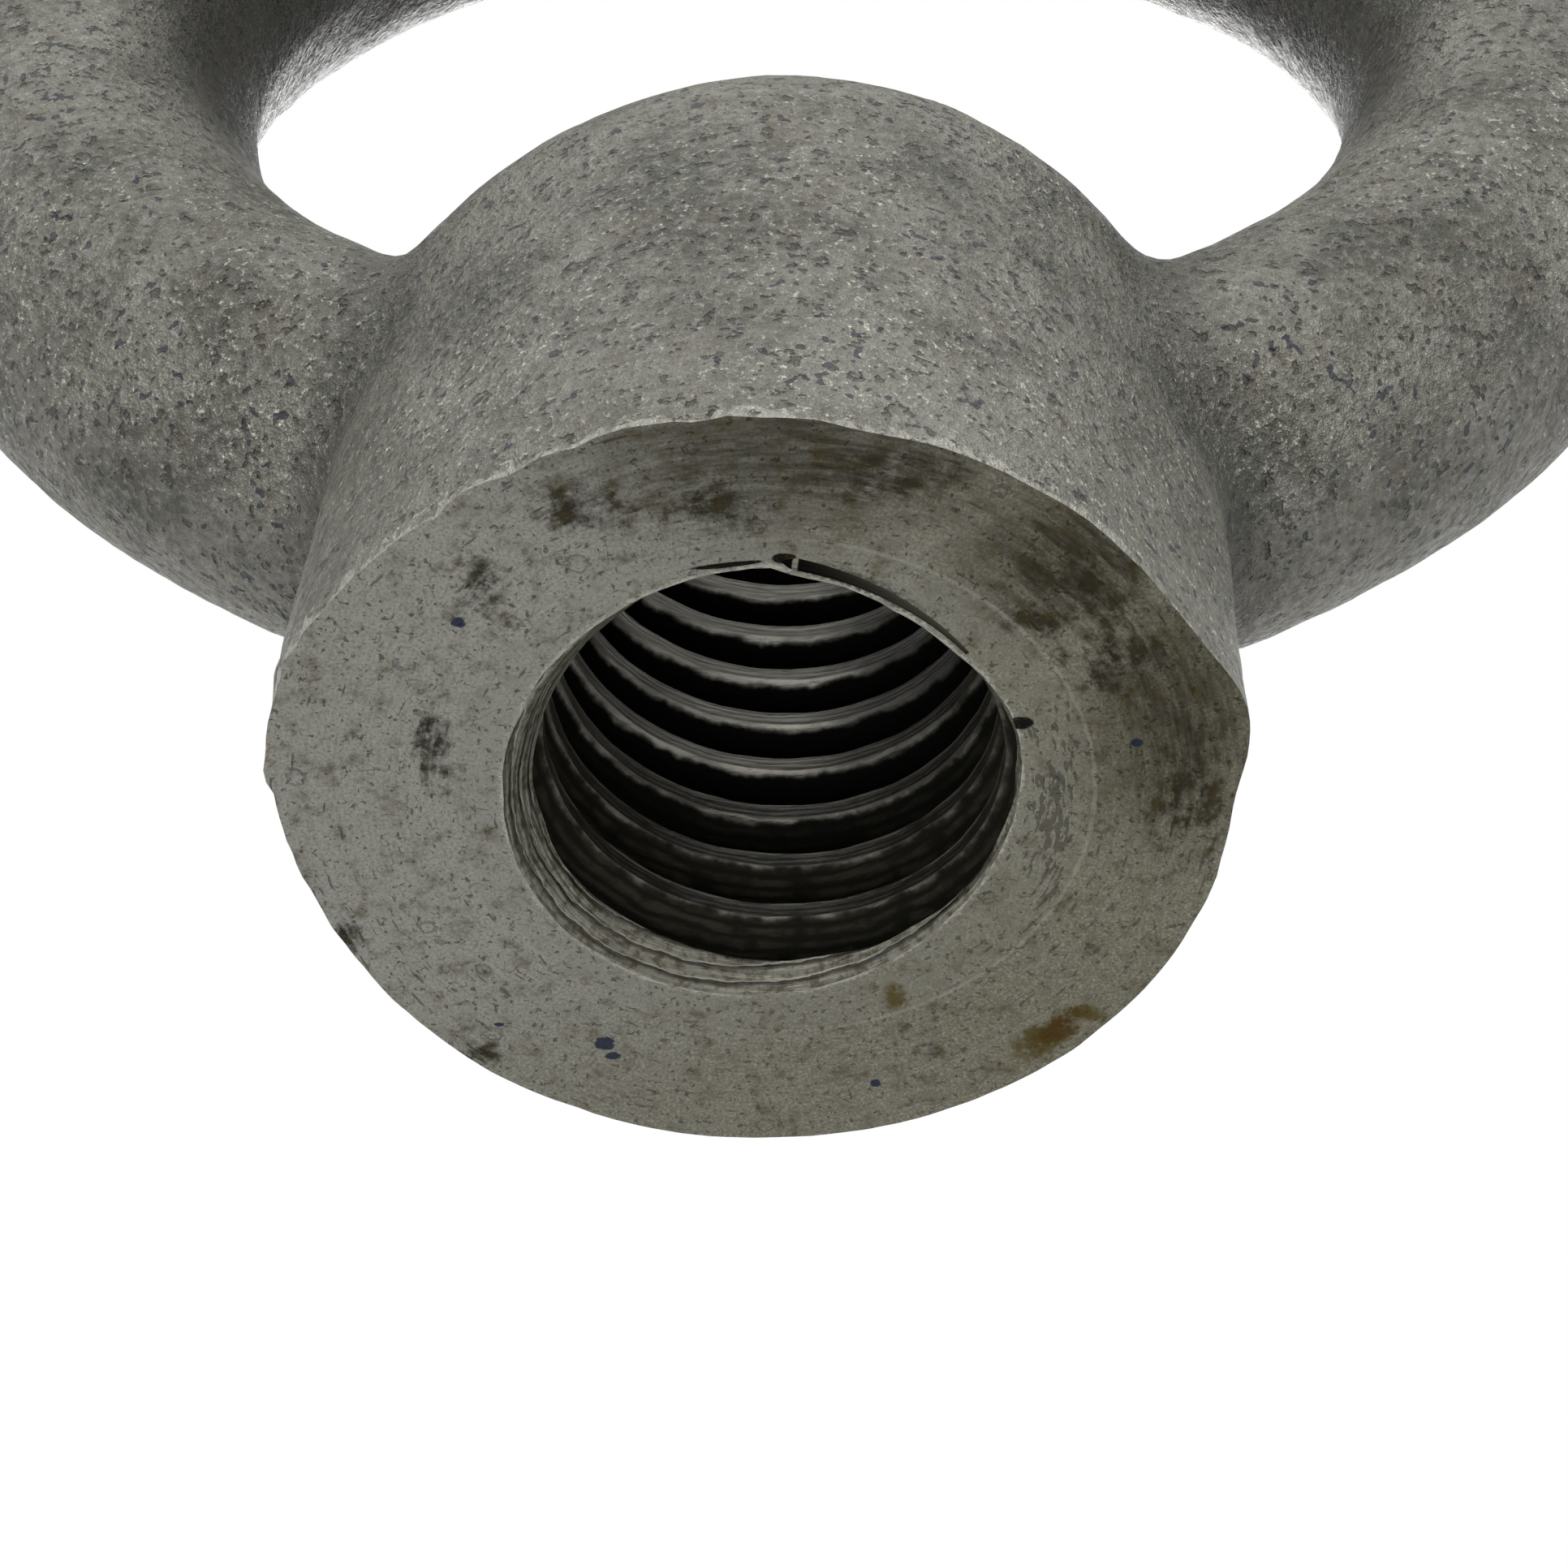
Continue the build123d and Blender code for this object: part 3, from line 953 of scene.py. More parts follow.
# %% Grime
streaky = node(tree, "ShaderNodeMapRange", (wiped, 0.30, 0.62, 0.45, 1.0),
               interpolation_type="SMOOTHSTEP")
wiped_film = node(tree, "ShaderNodeMath", (film, streaky), operation="MULTIPLY")
colour = coated(tree, colour, "#39362b", wiped_film, 0.90)
soaked = node(tree, "ShaderNodeMath", (wiped, 0.60, face["mottle"]), operation="MULTIPLY_ADD")
soaked = node(tree, "ShaderNodeMath", (pools, 0.36, soaked), operation="MULTIPLY_ADD")
dirt = node(tree, "ShaderNodeMapRange", (soaked, 0.88, 1.30), interpolation_type="SMOOTHSTEP")
colour = coated(tree, colour, "#29251a", dirt, 0.85)
colour = tinted(tree, colour, "#0f0e09", soaked, 1.14, 1.36, 0.8)
mottled = node(tree, "ShaderNodeMath", (film, 0.10, face["mottle"]), operation="MULTIPLY_ADD")
colour = tinted(tree, colour, "#565041", mottled, 0.44, 0.80, 0.5)
print("grime:", len(tree.nodes), "nodes")

# %% [markdown]
# A second cut left a band round the mouth, 14 mm across, a little smoother than the rest. Its
# edge has a painted highlight on the lit side.

# %% The second cut's band
band_radius = 7.0
colour = tinted(tree, colour, "#8b8a7f", radius, band_radius, band_radius - 0.2, 0.25)
off_edge = node(tree, "ShaderNodeMath", (radius, 0.02 - band_radius), operation="ADD")
off_edge = node(tree, "ShaderNodeMath", (off_edge,), operation="ABSOLUTE")
edge = node(tree, "ShaderNodeMapRange", (off_edge, 0.07, 0.02), interpolation_type="SMOOTHSTEP")
lit_side = node(tree, "ShaderNodeMapRange", (x, -2.0, 4.0, 0.10, 0.35),
                interpolation_type="SMOOTHSTEP")
edge = node(tree, "ShaderNodeMath", (edge, lit_side), operation="MULTIPLY")
# painted highlight along the band's edge
colour = coated(tree, colour, "#b9b7aa", edge)
print("band:", 2 * band_radius, "mm across")

# %% [markdown]
# Where the tool shook it tore short marks beside the mouth. A noise in the place of the
# wiped streaks, at half their size, gives their direction.

# %% Chatter
shaken = near(tree, place, 6.1, 0.4, 1.0, 4.6)
tears = node(tree, "ShaderNodeTexNoise", {"Vector": streak_place, "Scale": 2.0, "Detail": 2.0})
tears = node(tree, "ShaderNodeMath", (shaken, 0.22, tears), operation="MULTIPLY_ADD")
torn = node(tree, "ShaderNodeMapRange", (tears, 0.66, 0.74), interpolation_type="SMOOTHSTEP")
colour = coated(tree, colour, "#3f3c30", torn, 0.75)
print("chatter:", round(streak_width / 2, 2), "mm wide")

# %% [markdown]
# Rust starts as hairs and dots. A hair is where a noise crosses its middle value, which
# is a thin line, kept only here and there.

# %% Brown hairs
crossing = node(tree, "ShaderNodeMath", (face["hairs"], -0.5), operation="ADD")
crossing = node(tree, "ShaderNodeMath", (crossing,), operation="ABSOLUTE")
line = node(tree, "ShaderNodeMapRange", (crossing, 0.018, 0.004), interpolation_type="SMOOTHSTEP")
kept = node(tree, "ShaderNodeMath", (face["gaps"], 0.56), operation="GREATER_THAN")
hair = node(tree, "ShaderNodeMath", (line, kept), operation="MULTIPLY")
colour = coated(tree, colour, "#5a4a26", hair, 0.5)
print("hairs loop about every", face_patterns["hairs"][0], "mm")

# %% [markdown]
# The dots are the peaks of a fine noise. They lie a little thicker on one side, and brown
# ones gather below the mouth.

# %% Dark and brown dots
side = node(tree, "ShaderNodeMath", (x, y), operation="ADD")
side = node(tree, "ShaderNodeMapRange", (side, -8.0, 8.0), interpolation_type="SMOOTHSTEP")
thick = node(tree, "ShaderNodeMath", (side, 0.05, face["grain"]), operation="MULTIPLY_ADD")
dots = node(tree, "ShaderNodeMath", (thick, 0.5, face["dots"]), operation="MULTIPLY_ADD")
colour = tinted(tree, colour, "#2e2a1c", dots, 0.885, 0.965, 0.8)
below = near(tree, place, 0.3, 6.6, 2.6, 0.7)
brown = node(tree, "ShaderNodeMath", (below, 0.10, face["brown"]), operation="MULTIPLY_ADD")
colour = tinted(tree, colour, "#5d4f2c", brown, 0.64, 0.74, 0.6)
print("dots of", face_patterns["dots"][0], "and", face_patterns["brown"][0], "mm")

# %% [markdown]
# A drop that dries leaves its edge. Voronoi cells give the drops, and the distance from a
# cell's middle gives the ring, bent a little by the grain. One cell in six has one.

# %% Dried drops
drop_spacing = 1.25                          # mm
crooked = node(tree, "ShaderNodeCombineXYZ", (face["grain"], face["mottle"], 0.0))
crooked = node(tree, "ShaderNodeVectorMath", {"Vector": crooked, "Scale": 0.35},
               operation="SCALE")
crooked = node(tree, "ShaderNodeVectorMath", (place, crooked))
cells = node(tree, "ShaderNodeTexVoronoi", {"Vector": crooked, "Scale": 1 / drop_spacing},
             voronoi_dimensions="2D")
chance = node(tree, "ShaderNodeSeparateColor", (cells.outputs["Color"],))
ring_size = node(tree, "ShaderNodeMath", (chance, 0.5, -0.32), operation="MULTIPLY_ADD")
off_ring = node(tree, "ShaderNodeMath", (cells.outputs["Distance"], ring_size),
                operation="SUBTRACT")
off_ring = node(tree, "ShaderNodeMath", (off_ring,), operation="ABSOLUTE")
line = node(tree, "ShaderNodeMapRange", (off_ring, 0.035, 0.012), interpolation_type="SMOOTHSTEP")
chosen = node(tree, "ShaderNodeMath", (chance, 0.84), operation="GREATER_THAN")
drop = node(tree, "ShaderNodeMath", (line, chosen), operation="MULTIPLY")
colour = coated(tree, colour, "#37342a", drop, 0.45)
print("drops:", drop_spacing, "mm apart")

# %% [markdown]
# The lip is rolled over, with a painted highlight along it in places. A notch on one side and a
# split where the thread runs out are painted black, as their shade. It follows the edge of the
# countersink by the same rule that shaped the tap.

# %% The lip of the mouth, with painted highlight and shade
edge = mouth_edge(tree, way_x, way_y)
off_lip = node(tree, "ShaderNodeMath", (radius, edge), operation="SUBTRACT")
wander = node(tree, "ShaderNodeMath", (face["grain"], -0.5), operation="ADD")
off_lip = node(tree, "ShaderNodeMath", (wander, -0.25, off_lip), operation="MULTIPLY_ADD")
rolled_lip_and_highlight = node(tree, "ShaderNodeMapRange", (off_lip, 0.13, 0.03), interpolation_type="SMOOTHSTEP")
highlight_patches = node(tree, "ShaderNodeMapRange", (wiped, 0.42, 0.56, 0.15, 1.0),
              interpolation_type="SMOOTHSTEP")
rolled_lip_and_highlight = node(tree, "ShaderNodeMath", (rolled_lip_and_highlight, highlight_patches), operation="MULTIPLY")
# painted highlight along the rolled lip
colour = coated(tree, colour, "#cbc9bc", rolled_lip_and_highlight, 0.8)
notch_and_shade = spots(tree, place, (5.30, -2.15, 0.42, 0.26), (-0.9, -6.33, 1.15, 0.10, -7.5),
              (0.28, -6.50, 0.40, 0.20))
ragged = node(tree, "ShaderNodeMath", (face["grain"], 0.5), operation="ADD")
notch_and_shade = node(tree, "ShaderNodeMath", (notch_and_shade, ragged), operation="MULTIPLY")
notch_and_shade = node(tree, "ShaderNodeMapRange", (notch_and_shade, 0.15, 0.4), interpolation_type="SMOOTHSTEP")
# painted shade in the notch and the split
colour = coated(tree, colour, "#0e0d0a", notch_and_shade)
print("lip:", len(tree.nodes), "nodes")

# %% [markdown]
# Behind the lip the step's shade is painted dark. It lies in a band half a millimetre wide along
# the edge, and only where the thread runs out.

# %% Painted shade behind the lip
outer = node(tree, "ShaderNodeMapRange", (off_lip, 0.62, 0.20), interpolation_type="SMOOTHSTEP")
inner = node(tree, "ShaderNodeMapRange", (off_lip, 0.06, 0.14), interpolation_type="SMOOTHSTEP")
crescent_shade = node(tree, "ShaderNodeMath", (outer, inner), operation="MULTIPLY")
runout = near(tree, place, 1.9, -5.9, 2.6, 1.7, 30.0)
crescent_shade = node(tree, "ShaderNodeMath", (crescent_shade, runout), operation="MULTIPLY")
uneven = node(tree, "ShaderNodeMapRange", (face["grain"], 0.25, 0.55, 0.5, 1.0),
              interpolation_type="SMOOTHSTEP")
crescent_shade = node(tree, "ShaderNodeMath", (crescent_shade, uneven), operation="MULTIPLY")
# painted shade behind the lip
colour = tinted(tree, colour, "#2b2920", crescent_shade, 0.05, 0.6, 0.8)
print("grime behind the lip:", len(tree.nodes), "nodes")

# %% [markdown]
# Rust has started where water stood, olive brown at its edge and orange in its middle.

# %% Rust
water = spots(tree, place, (6.25, 7.2, 1.9, 0.75, 139.0), (7.1, 6.4, 0.8, 0.5),
              (2.75, 5.9, 0.55, 0.8))
stain = node(tree, "ShaderNodeMath", (face["grain"], 0.5, face["mottle"]),
             operation="MULTIPLY_ADD")
stain = node(tree, "ShaderNodeMath", (face["frost"], 0.5, stain), operation="MULTIPLY_ADD")
rust = node(tree, "ShaderNodeMath", (water, 0.60, stain), operation="MULTIPLY_ADD")
rust = node(tree, "ShaderNodeMapRange", (rust, 1.05, 1.55), interpolation_type="SMOOTHSTEP")
colour = coated(tree, colour, "#5f521d", rust, 0.85)
middle = near(tree, place, 6.5, 6.9, 1.8, 0.7, 135.0)
orange = node(tree, "ShaderNodeMath", (middle, stain), operation="MULTIPLY")
colour = tinted(tree, colour, "#523b0e", orange, 0.35, 1.00, 0.9)
print("rust:", len(tree.nodes), "nodes")

# %% [markdown]
# Six small flecks of blue paint lie on the face, their edges broken up by a fine noise.

# %% Paint
paint = spots(tree, place, (-3.9, 7.35, 0.46, 0.42), (-3.75, 7.75, 0.42, 0.24),
              (-6.5, -4.85, 0.30, 0.28), (7.8, -1.6, 0.26, 0.22), (2.35, 8.65, 0.28, 0.25),
              (-6.3, 6.75, 0.25, 0.12))
broken = node(tree, "ShaderNodeMath", (face["paint"], 0.30), operation="ADD")
paint = node(tree, "ShaderNodeMath", (paint, broken), operation="MULTIPLY")
paint = node(tree, "ShaderNodeMapRange", (paint, 0.32, 0.48, 0.0, 0.9),
             interpolation_type="SMOOTHSTEP")
colour = coated(tree, colour, "#202d48", paint)
print("paint:", len(tree.nodes), "nodes")

# %% [markdown]
# The relief is very low, 0.025 mm, with the circles, the frost and the torn marks in it.
# Grime, rust and paint take away the mirror part of the steel's light.

# %% Relief, gloss and the finished face
relief = node(tree, "ShaderNodeMath", (face["frost"], 0.8, face["grain"]),
              operation="MULTIPLY_ADD")
relief = node(tree, "ShaderNodeMath", (circles, 0.35, relief), operation="MULTIPLY_ADD")
relief = node(tree, "ShaderNodeMath", (torn, -0.8, relief), operation="MULTIPLY_ADD")
covered = 0.0
for proud in (drop, rolled_lip_and_highlight):
    relief = node(tree, "ShaderNodeMath", (relief, proud), operation="ADD")
for dull in (dirt, film, rust, paint, notch_and_shade):
    covered = node(tree, "ShaderNodeMath", (covered, dull), operation="MAXIMUM")
rough = node(tree, "ShaderNodeMapRange", (dirt, 0.0, 1.0, 0.36, 0.6),
             interpolation_type="SMOOTHSTEP")
gloss = node(tree, "ShaderNodeMapRange", (covered, 0.0, 0.9, 0.5, 0.06),
             interpolation_type="SMOOTHSTEP")
finish_steel(tree, colour, relief, 0.025, rough, gloss)
print(face_steel.name, "has", len(tree.nodes), "nodes")

# %% [markdown]
# ## Cut thread
#
# Tapped steel is bright on the crests, where the tap rubbed it, and dark in the roots, where
# black oil and chips stay; deep in the hole light and shade are painted in as well. Its patterns
# are streaks drawn out round the hole, small crumbs, and torn patches.

# %% The thread's patterns
streak_length, streak_height = 1.25, 0.1429  # mm
crumb_width, patch_width = 0.25, 0.7143      # mm
tree = emptied(thread_steel)
place = place_on_nut(tree)
x, y, height = node(tree, "ShaderNodeSeparateXYZ", (place,)).outputs
long_place = node(tree, "ShaderNodeMapping", {
    "Vector": place, "Scale": (1 / streak_length, 1 / streak_length, 1 / streak_height)})
streaks = node(tree, "ShaderNodeTexNoise", {
    "Vector": long_place, "Scale": 1.0, "Detail": 4.0, "Roughness": 0.65})
crumbs = node(tree, "ShaderNodeTexNoise", {
    "Vector": place, "Scale": 1 / crumb_width, "Detail": 3.0, "Roughness": 0.7})
torn = node(tree, "ShaderNodeTexNoise", {
    "Vector": place, "Scale": 1 / patch_width, "Detail": 3.0, "Roughness": 0.6})
print("thread streaks:", streak_length, "by", streak_height, "mm")

# %% [markdown]
# The helix has a simple rule: height divided by pitch, less the turn about the axis,
# grows by one from groove to groove. Its fraction is 0 at the root and 9/16 in the middle
# of the crest, so colour can follow the thread wherever the tap went. The torn patches
# make the crest's edge ragged, and near the mouth the crest is worn a little narrower.

# %% Where a point lies on the thread
angle = node(tree, "ShaderNodeMath", (y, x), operation="ARCTAN2")
turned = node(tree, "ShaderNodeMath", (angle, 2 * pi), operation="DIVIDE")
risen = node(tree, "ShaderNodeMath", (height, -tap_sizes["Start"]), operation="ADD")
risen = node(tree, "ShaderNodeMath", (risen, tap_sizes["Pitch"]), operation="DIVIDE")
wound = node(tree, "ShaderNodeMath", (risen, turned), operation="SUBTRACT")
part = node(tree, "ShaderNodeMath", (wound,), operation="FRACT")
wander = node(tree, "ShaderNodeMath", (torn, -0.5), operation="ADD")
ragged = node(tree, "ShaderNodeMath", (wander, 0.12, part), operation="MULTIPLY_ADD")
off_crest = node(tree, "ShaderNodeMath", (ragged, -crest_middle), operation="ADD")
off_crest = node(tree, "ShaderNodeMath", (off_crest,), operation="ABSOLUTE")
wear = node(tree, "ShaderNodeMapRange", (height, 6.0, 3.0, 0.0, 0.03),
            interpolation_type="SMOOTHSTEP")
off_crest = node(tree, "ShaderNodeMath", (off_crest, wear), operation="ADD")
crest = node(tree, "ShaderNodeMapRange", (off_crest, 0.20, 0.14), interpolation_type="SMOOTHSTEP")
print("crests every", tap_sizes["Pitch"], "mm")

# %% [markdown]
# The tap's teeth leave fine lines that run the same way as the thread, eleven to a pitch.
# A sine of the same rule draws them, and the streaks shake it.

# %% Lines of the tap's teeth
lines_a_pitch = 11
phase = node(tree, "ShaderNodeMath", (streaks, 9.0), operation="MULTIPLY")
phase = node(tree, "ShaderNodeMath", (wound, 2 * pi * lines_a_pitch, phase),
             operation="MULTIPLY_ADD")
lines = node(tree, "ShaderNodeMath", (phase,), operation="SINE")
print("lines", round(tap_sizes["Pitch"] / lines_a_pitch, 2), "mm apart")

# %% [markdown]
# Deep in the hole the crests are bright bare steel with streaks, painted lighter as lit from the
# hole's far end and darker towards one side as shade. Near the mouth they are brown with old oil,
# and bare steel shows only where they are worn.

# %% Crests
on_line = node(tree, "ShaderNodeMapRange", (lines, -0.4, 1.0), interpolation_type="SMOOTHSTEP")
bare = node(tree, "ShaderNodeMapRange", (torn, 0.35, 0.65), interpolation_type="SMOOTHSTEP")
worn = node(tree, "ShaderNodeMath", (on_line, bare), operation="MULTIPLY")
near_crest = coated(tree, linear("#37352c"), "#6f6d62", worn)
far_crest = tinted(tree, linear("#a9a69b"), "#6f6d64", streaks, 0.40, 0.64, 0.8)
side_shade = node(tree, "ShaderNodeMath", (torn, 2.0, x), operation="MULTIPLY_ADD")
# painted shade towards one side of the hole
far_crest = tinted(tree, far_crest, "#2b2a25", side_shade, 1.6, 3.6, 0.8)
deep_and_lit = node(tree, "ShaderNodeMath", (x, -0.25, height), operation="MULTIPLY_ADD")
deep_and_lit = node(tree, "ShaderNodeMapRange", (deep_and_lit, 6.2, 7.6), interpolation_type="SMOOTHSTEP")
# painted light on the deep crests, from the hole's far end
crest_colour = node(tree, "ShaderNodeMix", (deep_and_lit, near_crest, far_crest), data_type="RGBA")
print("crests:", len(tree.nodes), "nodes")

# %% [markdown]
# The roots are dark brown near the mouth, with the lines of the teeth just showing, and painted
# black deep in the hole, as shade.

# %% Roots
on_line = node(tree, "ShaderNodeMapRange", (lines, -1.2, 1.2), interpolation_type="SMOOTHSTEP")
bare = node(tree, "ShaderNodeMapRange", (torn, 0.30, 0.62), interpolation_type="SMOOTHSTEP")
worn = node(tree, "ShaderNodeMath", (on_line, bare), operation="MULTIPLY")
root_colour_and_shade = coated(tree, linear("#26251e"), "#4b493f", worn)
# painted shade: the roots darken to black deep in the hole
root_colour_and_shade = tinted(tree, root_colour_and_shade, "#0b0b09", height, 3.0, 6.5)
colour = node(tree, "ShaderNodeMix", (crest, root_colour_and_shade, crest_colour), data_type="RGBA")
print("roots:", len(tree.nodes), "nodes")

# %% [markdown]
# The upper edge of a crest catches the light as a fine line, broken by the streaks. Above
# the middle of the hole no light reaches it.

# %% A glint along each crest
upper_edge = 10.6 / 16                       # of a pitch, from the middle of the root
off_line = node(tree, "ShaderNodeMath", (part, -upper_edge), operation="ADD")
off_line = node(tree, "ShaderNodeMath", (off_line,), operation="ABSOLUTE")
glint = node(tree, "ShaderNodeMapRange", (off_line, 0.040, 0.012), interpolation_type="SMOOTHSTEP")
broken = node(tree, "ShaderNodeMapRange", (streaks, 0.40, 0.55, 0.1, 0.8),
              interpolation_type="SMOOTHSTEP")
lit_part = node(tree, "ShaderNodeMapRange", (height, 8.0, 6.0), interpolation_type="SMOOTHSTEP")
glint = node(tree, "ShaderNodeMath", (glint, broken), operation="MULTIPLY")
glint = node(tree, "ShaderNodeMath", (glint, lit_part), operation="MULTIPLY")
colour = coated(tree, colour, "#a19e92", glint)
print("glints:", len(tree.nodes), "nodes")

# %% [markdown]
# The countersink is found by distance from the cone that the tap cuts. Its light grey is painted
# brighter, as light. Its tool shook, so it has steps, each with painted shade at its foot and a
# painted highlight on its edge, and crumbs of rust lie on it.

# %% The countersink
step_height = 0.33                           # mm
way = node(tree, "ShaderNodeVectorMath", (place, (1.0, 1.0, 0.0)), operation="MULTIPLY")
radius = node(tree, "ShaderNodeVectorMath", (way,), operation="LENGTH")
way = node(tree, "ShaderNodeVectorMath", (way,), operation="NORMALIZE")
cosine, sine, _ = node(tree, "ShaderNodeSeparateXYZ", (way,)).outputs
edge = mouth_edge(tree, cosine, sine)
cone = node(tree, "ShaderNodeMath", (height, -mouth_slope, edge), operation="MULTIPLY_ADD")
off_cone = node(tree, "ShaderNodeMath", (radius, cone), operation="SUBTRACT")
mouth = node(tree, "ShaderNodeMapRange", (off_cone, 0.15, 0.07), interpolation_type="SMOOTHSTEP")
low_part = node(tree, "ShaderNodeMapRange", (height, 1.9, 1.5), interpolation_type="SMOOTHSTEP")
mouth = node(tree, "ShaderNodeMath", (mouth, low_part), operation="MULTIPLY")
step = node(tree, "ShaderNodeMath", (torn, 0.5), operation="MULTIPLY")
step = node(tree, "ShaderNodeMath", (height, 1 / step_height, step), operation="MULTIPLY_ADD")
step = node(tree, "ShaderNodeMath", (step,), operation="FRACT")
# painted light: the cone's grey is brighter than the light reaching it
mouth_colour = tinted(tree, linear("#a09e90"), "#554e38", crumbs, 0.40, 0.66, 0.85)
# painted shade at the foot of each step, then a painted highlight on its edge
mouth_colour = tinted(tree, mouth_colour, "#2c291f", step, 0.60, 0.88, 0.85)
mouth_colour = tinted(tree, mouth_colour, "#cfcdc1", step, 0.12, 0.02, 0.7)
colour = node(tree, "ShaderNodeMix", (mouth, colour, mouth_colour), data_type="RGBA")
print("countersink: steps of", step_height, "mm")

# %% [markdown]
# The crescent behind the lip is painted as shade: black where it starts and lighter towards its
# end. One flake of steel stands in it, with a painted highlight.

# %% Painted shade behind the lip
# painted shade in the crescent, black at its start
crescent_shade_colour = tinted(tree, linear("#0e0d0a"), "#6b685c", x, 0.3, 3.6)
flake_highlight = near(tree, place, 0.50, -6.25, 0.10, 0.30, 12.0)
# painted highlight on the flake of steel
crescent_shade_colour = tinted(tree, crescent_shade_colour, "#c9c5b4", flake_highlight, 0.1, 0.5)
past_edge = node(tree, "ShaderNodeMath", (radius, edge), operation="SUBTRACT")
crescent_shade = node(tree, "ShaderNodeMapRange", (past_edge, 0.05, 0.12), interpolation_type="SMOOTHSTEP")
at_face = node(tree, "ShaderNodeMapRange", (height, 0.4, 0.3), interpolation_type="SMOOTHSTEP")
crescent_shade = node(tree, "ShaderNodeMath", (crescent_shade, at_face), operation="MULTIPLY")
colour = node(tree, "ShaderNodeMix", (crescent_shade, colour, crescent_shade_colour), data_type="RGBA")
print("behind the lip:", len(tree.nodes), "nodes")

# %% [markdown]
# The dark roots, with their oil and painted shade, are matt here, because a wet gloss at the
# bottom of a groove would only show as noise. The crests keep the steel's gloss.

# %% Gloss and the finished thread
dark = node(tree, "ShaderNodeMath", (1.0, crest), operation="SUBTRACT")
dark = node(tree, "ShaderNodeMath", (dark, mouth), operation="SUBTRACT", use_clamp=True)
steps = node(tree, "ShaderNodeMath", (step, mouth), operation="MULTIPLY")
relief = node(tree, "ShaderNodeMath", (streaks, steps), operation="ADD")
relief = node(tree, "ShaderNodeMath", (lines, 0.12, relief), operation="MULTIPLY_ADD")
rough = node(tree, "ShaderNodeMapRange", (dark, 0.0, 1.0, 0.36, 0.8),
             interpolation_type="SMOOTHSTEP")
gloss = node(tree, "ShaderNodeMapRange", (dark, 0.0, 1.0, 0.4, 0.10),
             interpolation_type="SMOOTHSTEP")
finish_steel(tree, colour, relief, 0.04, rough, gloss)
print(thread_steel.name, "has", len(tree.nodes), "nodes")

# %% [markdown]
# ## Cutting
#
# Each tool has the material of the surface it leaves. Three Boolean modifiers, in the order
# of the workshop, turn the forging into the finished nut, and the result is kept as a plain
# mesh.

# %% Face the foot and tap the hole
tools = (facing_tool, crescent, tap)
for tool in tools:
    cut = forging.modifiers.new(tool.name, "BOOLEAN")
    cut.object, cut.operation, cut.solver = tool, "DIFFERENCE", "EXACT"
    cut.material_mode = "TRANSFER"
eye_nut = applied(forging)
for tool in tools:
    bpy.data.objects.remove(tool)
eye_nut.name = "eye_nut_forging"
triangles = sum(len(p.vertices) - 2 for p in eye_nut.data.polygons)
print("eye nut:", triangles, "triangles,", [m.name for m in eye_nut.data.materials if m])

# %% [markdown] The cuts leave sharp edges at the rim and round the mouth, and the rest is
# smooth. Smooth shading with sharp edges by angle keeps both.

# %% Shade the nut and hand it to the frame
sharp_angle = radians(38)
eye_nut.data.shade_smooth()
eye_nut.data.set_sharp_from_angle(angle=sharp_angle)
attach(eye_nut, "root")
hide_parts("eye_nut")
print("sharp above", round(degrees(sharp_angle)), "degrees")

# %% [markdown]
# ## The floor, the light and the camera
#
# The nut stands on a pale floor. We look up at it from below, through the floor, so the
# floor's material is clear from behind, and the floor doesn't block light. It still shows
# the nut's shadow to a camera above it. The floor glows a little towards the camera, and
# in mirrors and glass, so that it looks white without any more light on the nut.

# %% The floor's material
def rays_that_see(tree):
    """1 for rays from the camera, in mirrors and through glass, and 0 for the rest."""
    rays = node(tree, "ShaderNodeLightPath").outputs
    seen = node(tree, "ShaderNodeMath", (rays["Is Camera Ray"], rays["Is Glossy Ray"]),
                operation="MAXIMUM")
    return node(tree, "ShaderNodeMath", (seen, rays["Is Transmission Ray"]),
                operation="MAXIMUM")


floor_glow = 0.62
floor_paper = bpy.data.materials.new("pale floor, clear from below")
tree = emptied(floor_paper)
glow = node(tree, "ShaderNodeMath", (rays_that_see(tree), floor_glow), operation="MULTIPLY")
matt = node(tree, "ShaderNodeBsdfDiffuse", {"Color": linear("#c4c4c2")})
pale = node(tree, "ShaderNodeEmission", {"Color": linear("#f4f4f2"), "Strength": glow})
pale = node(tree, "ShaderNodeAddShader", (matt, pale))
clear = node(tree, "ShaderNodeBsdfTransparent")
from_below = node(tree, "ShaderNodeNewGeometry").outputs["Backfacing"]
paper = node(tree, "ShaderNodeMixShader", (from_below, pale, clear))
node(tree, "ShaderNodeOutputMaterial", (paper,))
print(floor_paper.name, "has", len(tree.nodes), "nodes")

# %% [markdown] The floor is one large square, a hair below the bearing face so that the
# two never fight for the same place.

# %% The floor
half, drop = 1500 * MM, -0.05 * MM
mesh = bpy.data.meshes.new("floor")
mesh.from_pydata([(-half, -half, drop), (half, -half, drop), (half, half, drop),
                  (-half, half, drop)], [], [(0, 1, 2, 3)])
mesh.materials.append(floor_paper)
floor = bpy.data.objects.new("floor", mesh)
bpy.context.collection.objects.link(floor)
floor.visible_shadow = floor.visible_diffuse = floor.visible_glossy = False
print("floor:", 2 * half, "m wide")

# %% [markdown]
# The world is white to the camera and in reflections, and much weaker as a light, so that
# the shadows in the hole and inside the eye stay deep.

